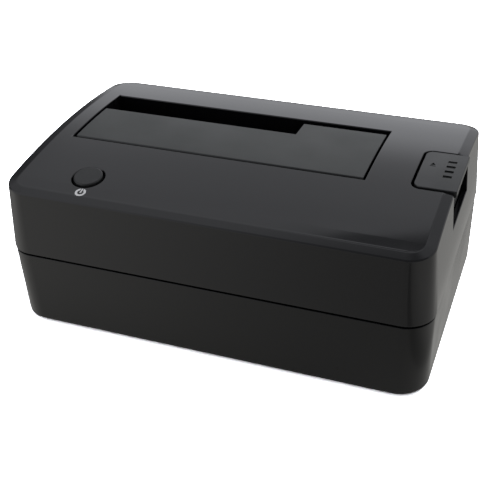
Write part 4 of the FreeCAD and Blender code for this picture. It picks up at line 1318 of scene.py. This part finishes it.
@dataclass
class Springs(Part):
    """Springs of the eject button and of the flap; the flap spring's leg turns with the flap."""

    torsion_radius: float = 1.55
    torsion_wire: float = 0.25
    torsion_pitch: float = 0.8
    torsion_turns: float = 6.25
    leg: float = 8.0
    leg_turns: float = 0.25
    leg_sides: int = 12
    press_radius: float = 3.5
    press_wire: float = 0.3
    press_turns: float = 6.0
    press_play: float = 0.6
    travel: float = 7.0

    def torsion(self, turns: float) -> Solid:
        """Wire round the hinge pin, from its top towards the front.

        Args:
            turns: Number of turns.

        Returns:
            The winding.
        """
        d = self.dock
        mesh = winding(self.torsion_radius, self.torsion_wire, self.torsion_pitch, turns)
        lay_along_x = Matrix(((0, 0, 1), (0, -1, 0), (1, 0, 0)))
        return Solid(moved(mesh, (d.hinge_x, d.hinge_y, d.hinge_z), lay_along_x))

    def flap_spring(self) -> None:
        """Torsion spring: coil and rim leg stay, its first quarter turn and leg go with the flap."""
        d, radius, wire = self.dock, self.torsion_radius, self.torsion_wire
        coil = self.torsion(self.torsion_turns)
        end = (d.hinge_x + self.torsion_pitch * self.torsion_turns, d.hinge_y - radius,
               d.hinge_z - self.leg / 2)
        coil.add(rod(end, self.leg / 2, wire, sides=self.leg_sides))
        coil.finish("flap_coil_spring", SPRING_STEEL, "housing", "flap_spring", slot="spring_steel")
        turning = self.torsion(self.leg_turns)
        turning.add(rod((d.hinge_x, d.hinge_y, d.hinge_z + radius), self.leg, wire, Axis.Y, self.leg_sides))
        turning.finish("flap_spring_leg", SPRING_STEEL, "flap", slot="spring_steel")

    def build(self) -> Item:
        """Make the springs.

        Returns:
            The spring of the eject button.
        """
        self.flap_spring()
        d = self.dock
        height = d.roof(d.eject_middle) - d.eject_cap - d.pocket_floor - self.press_play
        pitch = (height - 2 * self.press_wire) / self.press_turns
        mesh = winding(self.press_radius, self.press_wire, pitch, self.press_turns)
        low = d.pocket_floor + self.press_play / 4
        moved(mesh, (d.stem_x, d.eject_middle, low + self.press_wire))
        made = Solid(mesh).finish("eject_coil_spring", SPRING_STEEL, "housing", "eject_spring",
                                  slot="spring_steel")
        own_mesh(made)
        return made


def dress_nodes(nodes: dict[str, Item]) -> None:
    """Give the nodes of the frame their finishes, also those that a finer piece stands for.

    Args:
        nodes: Objects of the frame by name.
    """
    for name, surface in NODE_FINISHES.items():
        for slot in nodes[name].material_slots:
            slot.material = surface.material()
        LOG.info("%s: %s", name, surface.name)


@dataclass(frozen=True)
class Step:
    """Soft step of a brightness.

    Attributes:
        along: Direction of the step, "x", "y", "z" or "slant".
        first: Where it begins.
        last: Where it ends.
        start: Value at the beginning.
        end: Value at the end.
    """

    along: str
    first: float
    last: float
    start: float
    end: float


Steps = tuple[Step, ...]

# Brightness of the studio's back wall by the direction of a ray: products that are added up
WALL: tuple[Steps, ...] = (
    (Step("z", 0.2, 0.5, 1.25, 0.84),),
    (Step("z", 0.55, 0.7, 0.0, 0.12),),
    (Step("z", 0.7, 0.77, 0.0, 0.14),),
    (Step("z", 0.24, 0.32, 0.0, 0.2), Step("z", 0.36, 0.5, 1.0, 0.0)),
)
# Broad changes that multiply it
WALL_TREND: Steps = (
    Step("z", 0.0, 0.2, 0.7, 1.0), Step("x", -0.1, 0.04, 1.0, 0.7),
    Step("x", -0.3, -0.15, 1.0, 1.06),
)
# Patches that darken it: two at the left, and one that the roof's front right corner mirrors
WALL_PATCHES: tuple[Steps, ...] = (
    (Step("x", -0.47, -0.58, 0.0, 0.85), Step("z", 0.38, 0.68, 1.0, 0.2), Step("z", 0.0, 0.1, 0.0, 1.0)),
    (Step("x", -0.44, -0.465, 0.0, 0.08), Step("z", 0.38, 0.43, 1.0, 0.0)),
    (Step("slant", 0.65, 0.668, 0.0, 0.75), Step("z", 0.8, 0.86, 1.0, 0.0),
     Step("x", -0.08, -0.02, 1.0, 0.0)),
)
SLANT = 0.6
FRONT_PANEL = Step("x", -0.55, -0.12, 1.3, 0.3)
FRONT_TO_WALL = Step("y", -0.25, 0.0, 0.0, 1.0)
CEILING = Step("z", 0.93, 0.985, 1.0, 0.42)
# What the gloss mirrors of the floor, by place: in front of the dock, and beside and behind it
FLOOR_FRONT: tuple[Steps, ...] = ((Step("x", -0.14, 0.07, 1.0, 0.47),), (Step("x", 0.085, 0.14, 0.0, 0.25),))
FLOOR_BACK = Step("x", 0.03, 0.07, 0.3, 0.58)
FRONT_TO_BACK = Step("y", -0.08, 0.0, 0.0, 1.0)
# Painted shade: a dim band on the floor just right of the dock, in what the gloss mirrors
PAINTED_FLOOR_SHADE: Steps = (Step("x", 0.0795, 0.0825, 0.0, 0.34), Step("x", 0.09, 0.1, 1.0, 0.0))


class Tones:
    """Brightness that nodes work out from a direction or a place."""

    def __init__(self, tree: Tree, output: str) -> None:
        """Measure along the axes of one output of the texture coordinates.

        Args:
            tree: Node tree of a world or material.
            output: Name of the output.
        """
        self.tree = tree
        place = node(tree, "ShaderNodeTexCoord").outputs[output]
        parts = node(tree, "ShaderNodeSeparateXYZ", {"Vector": place})
        self.axes = {name.lower(): parts.outputs[name] for name in "XYZ"}
        path = node(tree, "ShaderNodeLightPath").outputs
        self.diffuse, self.glossy = path["Is Diffuse Ray"], path["Is Glossy Ray"]
        self.seen = self.maths("MAXIMUM", path["Is Camera Ray"], path["Is Transmission Ray"])

    def maths(self, operation: str, *values: object) -> Socket:
        """Add a Math node.

        Args:
            operation: Blender's name of the operation.
            *values: Numbers or output sockets.

        Returns:
            The result socket.
        """
        made = node(self.tree, "ShaderNodeMath", dict(enumerate(values)))
        made.operation = operation
        return made.outputs[0]

    def step(self, step: Step) -> Socket:
        """Value of a soft step.

        Args:
            step: The step.

        Returns:
            Its value for each ray or place.
        """
        made = node(self.tree, "ShaderNodeMapRange", {
            "Value": self.axes[step.along], "From Min": step.first, "From Max": step.last,
            "To Min": step.start, "To Max": step.end,
        })
        made.interpolation_type = "SMOOTHSTEP"
        return made.outputs["Result"]

    def times(self, *values: Socket) -> Socket:
        """Product of values.

        Args:
            *values: Output sockets.

        Returns:
            Their product.
        """
        result = values[0]
        for value in values[1:]:
            result = self.maths("MULTIPLY", result, value)
        return result

    def total(self, products: Iterable[Steps]) -> Socket:
        """Sum of products of steps.

        Args:
            products: Steps of each product.

        Returns:
            The sum.
        """
        first, *others = [self.times(*map(self.step, steps)) for steps in products]
        for other in others:
            first = self.maths("ADD", first, other)
        return first

    def darkened(self, value: Socket, patches: Iterable[Steps]) -> Socket:
        """Take the shares of patches from a value.

        Args:
            value: Value to darken.
            patches: Steps whose product is the share of each patch.

        Returns:
            What is left.
        """
        for steps in patches:
            share = self.times(*map(self.step, steps))
            value = self.maths("MULTIPLY", value, self.maths("SUBTRACT", 1.0, share))
        return value

    def between(self, turn: Step, before: Socket, after: Socket) -> Socket:
        """One value before a step and another after it."""
        mix = node(self.tree, "ShaderNodeMix", {"Factor": self.step(turn), "A": before, "B": after})
        return mix.outputs["Result"]


@dataclass
class Studio:
    """Camera, lamp, sky and floor, in metres."""

    place: Place = (0.10215, -0.26703, 0.20669)
    across: Place = (0.93602, 0.35014, -0.03563)
    upward: Place = (-0.16539, 0.52696, 0.83364)
    backward: Place = (0.31067, -0.77441, 0.55116)
    lens: float = 72.13
    sensor: float = 36.0
    clip_start: float = 0.01
    lamp_place: Place = (0.6, 0.5, 1.0)
    lamp_target: Place = (0.0, 0.0, 0.03)
    lamp_size: tuple[float, float] = (0.7, 0.5)
    lamp_power: float = 4.0
    soft_light: float = 0.75
    sky_tint: Colour = (0.972, 0.987, 1.033, 1)
    floor_tint: Colour = (1, 0.99, 0.955, 1)
    floor_size: float = 6.0
    floor_grey: float = 0.55
    floor_white: float = 7.0

    def camera(self) -> None:
        """Put the camera where the photograph was taken from."""
        data = bpy.data.cameras.new("camera")
        data.lens = self.lens
        data.sensor_width = self.sensor
        data.clip_start = self.clip_start
        item = linked("camera", data)
        turn = Matrix((self.across, self.upward, self.backward)).transposed()
        item.matrix_world = Matrix.Translation(self.place) @ turn.to_4x4()
        bpy.context.scene.camera = item

    def lamp(self) -> None:
        """Add a softbox that faces the dock from behind."""
        data = bpy.data.lights.new("key", "AREA")
        data.shape = "RECTANGLE"
        data.size, data.size_y = self.lamp_size
        data.energy = self.lamp_power
        item = linked("key", data)
        item.location = self.lamp_place
        aim = Vector(self.lamp_target) - Vector(self.lamp_place)
        item.rotation_euler = aim.to_track_quat("-Z", "Y").to_euler()
        item.visible_camera = False
        item.visible_glossy = False

    def sky(self) -> None:
        """Plain studio room: white to the eye, with broad panels for gloss and soft light."""
        world = bpy.data.worlds.new("studio")
        tree = emptied(world)
        tones = Tones(tree, "Generated")
        tones.axes["slant"] = tones.maths("MULTIPLY_ADD", tones.axes["x"], SLANT, tones.axes["z"])
        wall = tones.times(tones.total(WALL), *map(tones.step, WALL_TREND))
        wall = tones.darkened(wall, WALL_PATCHES)
        panels = tones.between(FRONT_TO_WALL, tones.step(FRONT_PANEL), wall)
        panels = tones.times(panels, tones.step(CEILING))
        share = tones.maths("MULTIPLY_ADD", tones.diffuse, self.soft_light, tones.glossy)
        tint = node(tree, "ShaderNodeMixRGB", {
            "Fac": tones.seen, "Color1": self.sky_tint, "Color2": (1, 1, 1, 1),
        })
        back = node(tree, "ShaderNodeBackground", {
            "Color": tint.outputs["Color"],
            "Strength": tones.maths("MULTIPLY_ADD", panels, share, tones.seen),
        })
        node(tree, "ShaderNodeOutputWorld", {"Surface": back.outputs["Background"]})
        bpy.context.scene.world = world

    def paper(self) -> bpy.types.Material:
        """Paper that is exposed to white for the eye and dim where the gloss mirrors it.

        Returns:
            The material.
        """
        made = bpy.data.materials.new("Paper sweep white")
        tree = emptied(made)
        tones = Tones(tree, "Object")
        mirrored = tones.between(FRONT_TO_BACK, tones.total(FLOOR_FRONT), tones.step(FLOOR_BACK))
        mirrored = tones.darkened(mirrored, [PAINTED_FLOOR_SHADE])
        paper = tones.maths("MULTIPLY_ADD", tones.seen, self.floor_white - self.floor_grey, self.floor_grey)
        colour = node(tree, "ShaderNodeCombineColor", {"Red": paper, "Green": paper, "Blue": paper})
        matt = node(tree, "ShaderNodeBsdfDiffuse", {"Color": colour.outputs["Color"]})
        glow = node(tree, "ShaderNodeEmission", {"Color": self.floor_tint, "Strength": mirrored})
        mixed = node(tree, "ShaderNodeMixShader", {0: tones.glossy, 1: matt.outputs[0], 2: glow.outputs[0]})
        node(tree, "ShaderNodeOutputMaterial", {"Surface": mixed.outputs[0]})
        return made

    def floor(self) -> None:
        """Pale floor that keeps the shadow close round the dock."""
        mesh = bmesh.new()
        bmesh.ops.create_grid(mesh, x_segments=1, y_segments=1, size=self.floor_size / 2)
        data = bpy.data.meshes.new("floor")
        mesh.to_mesh(data)
        mesh.free()
        data.materials.append(self.paper())
        item = linked("floor", data)

    def build(self) -> None:
        """Set up everything round the dock."""
        self.camera()
        self.sky()
        self.floor()
        self.lamp()
        bpy.context.scene.view_settings.view_transform = "Standard"


def main() -> None:
    """Build the dock round its frame."""
    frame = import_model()
    dock = Dock()
    Studio().build()
    dress_nodes(dict(frame["nodes"]))
    for kind in (UpperHousing, LowerHousing, Flap, PowerButton, EjectButton, Springs):
        made = kind(dock).build()
        LOG.info("built %s", made.name)


if __name__ == "__main__":
    main()
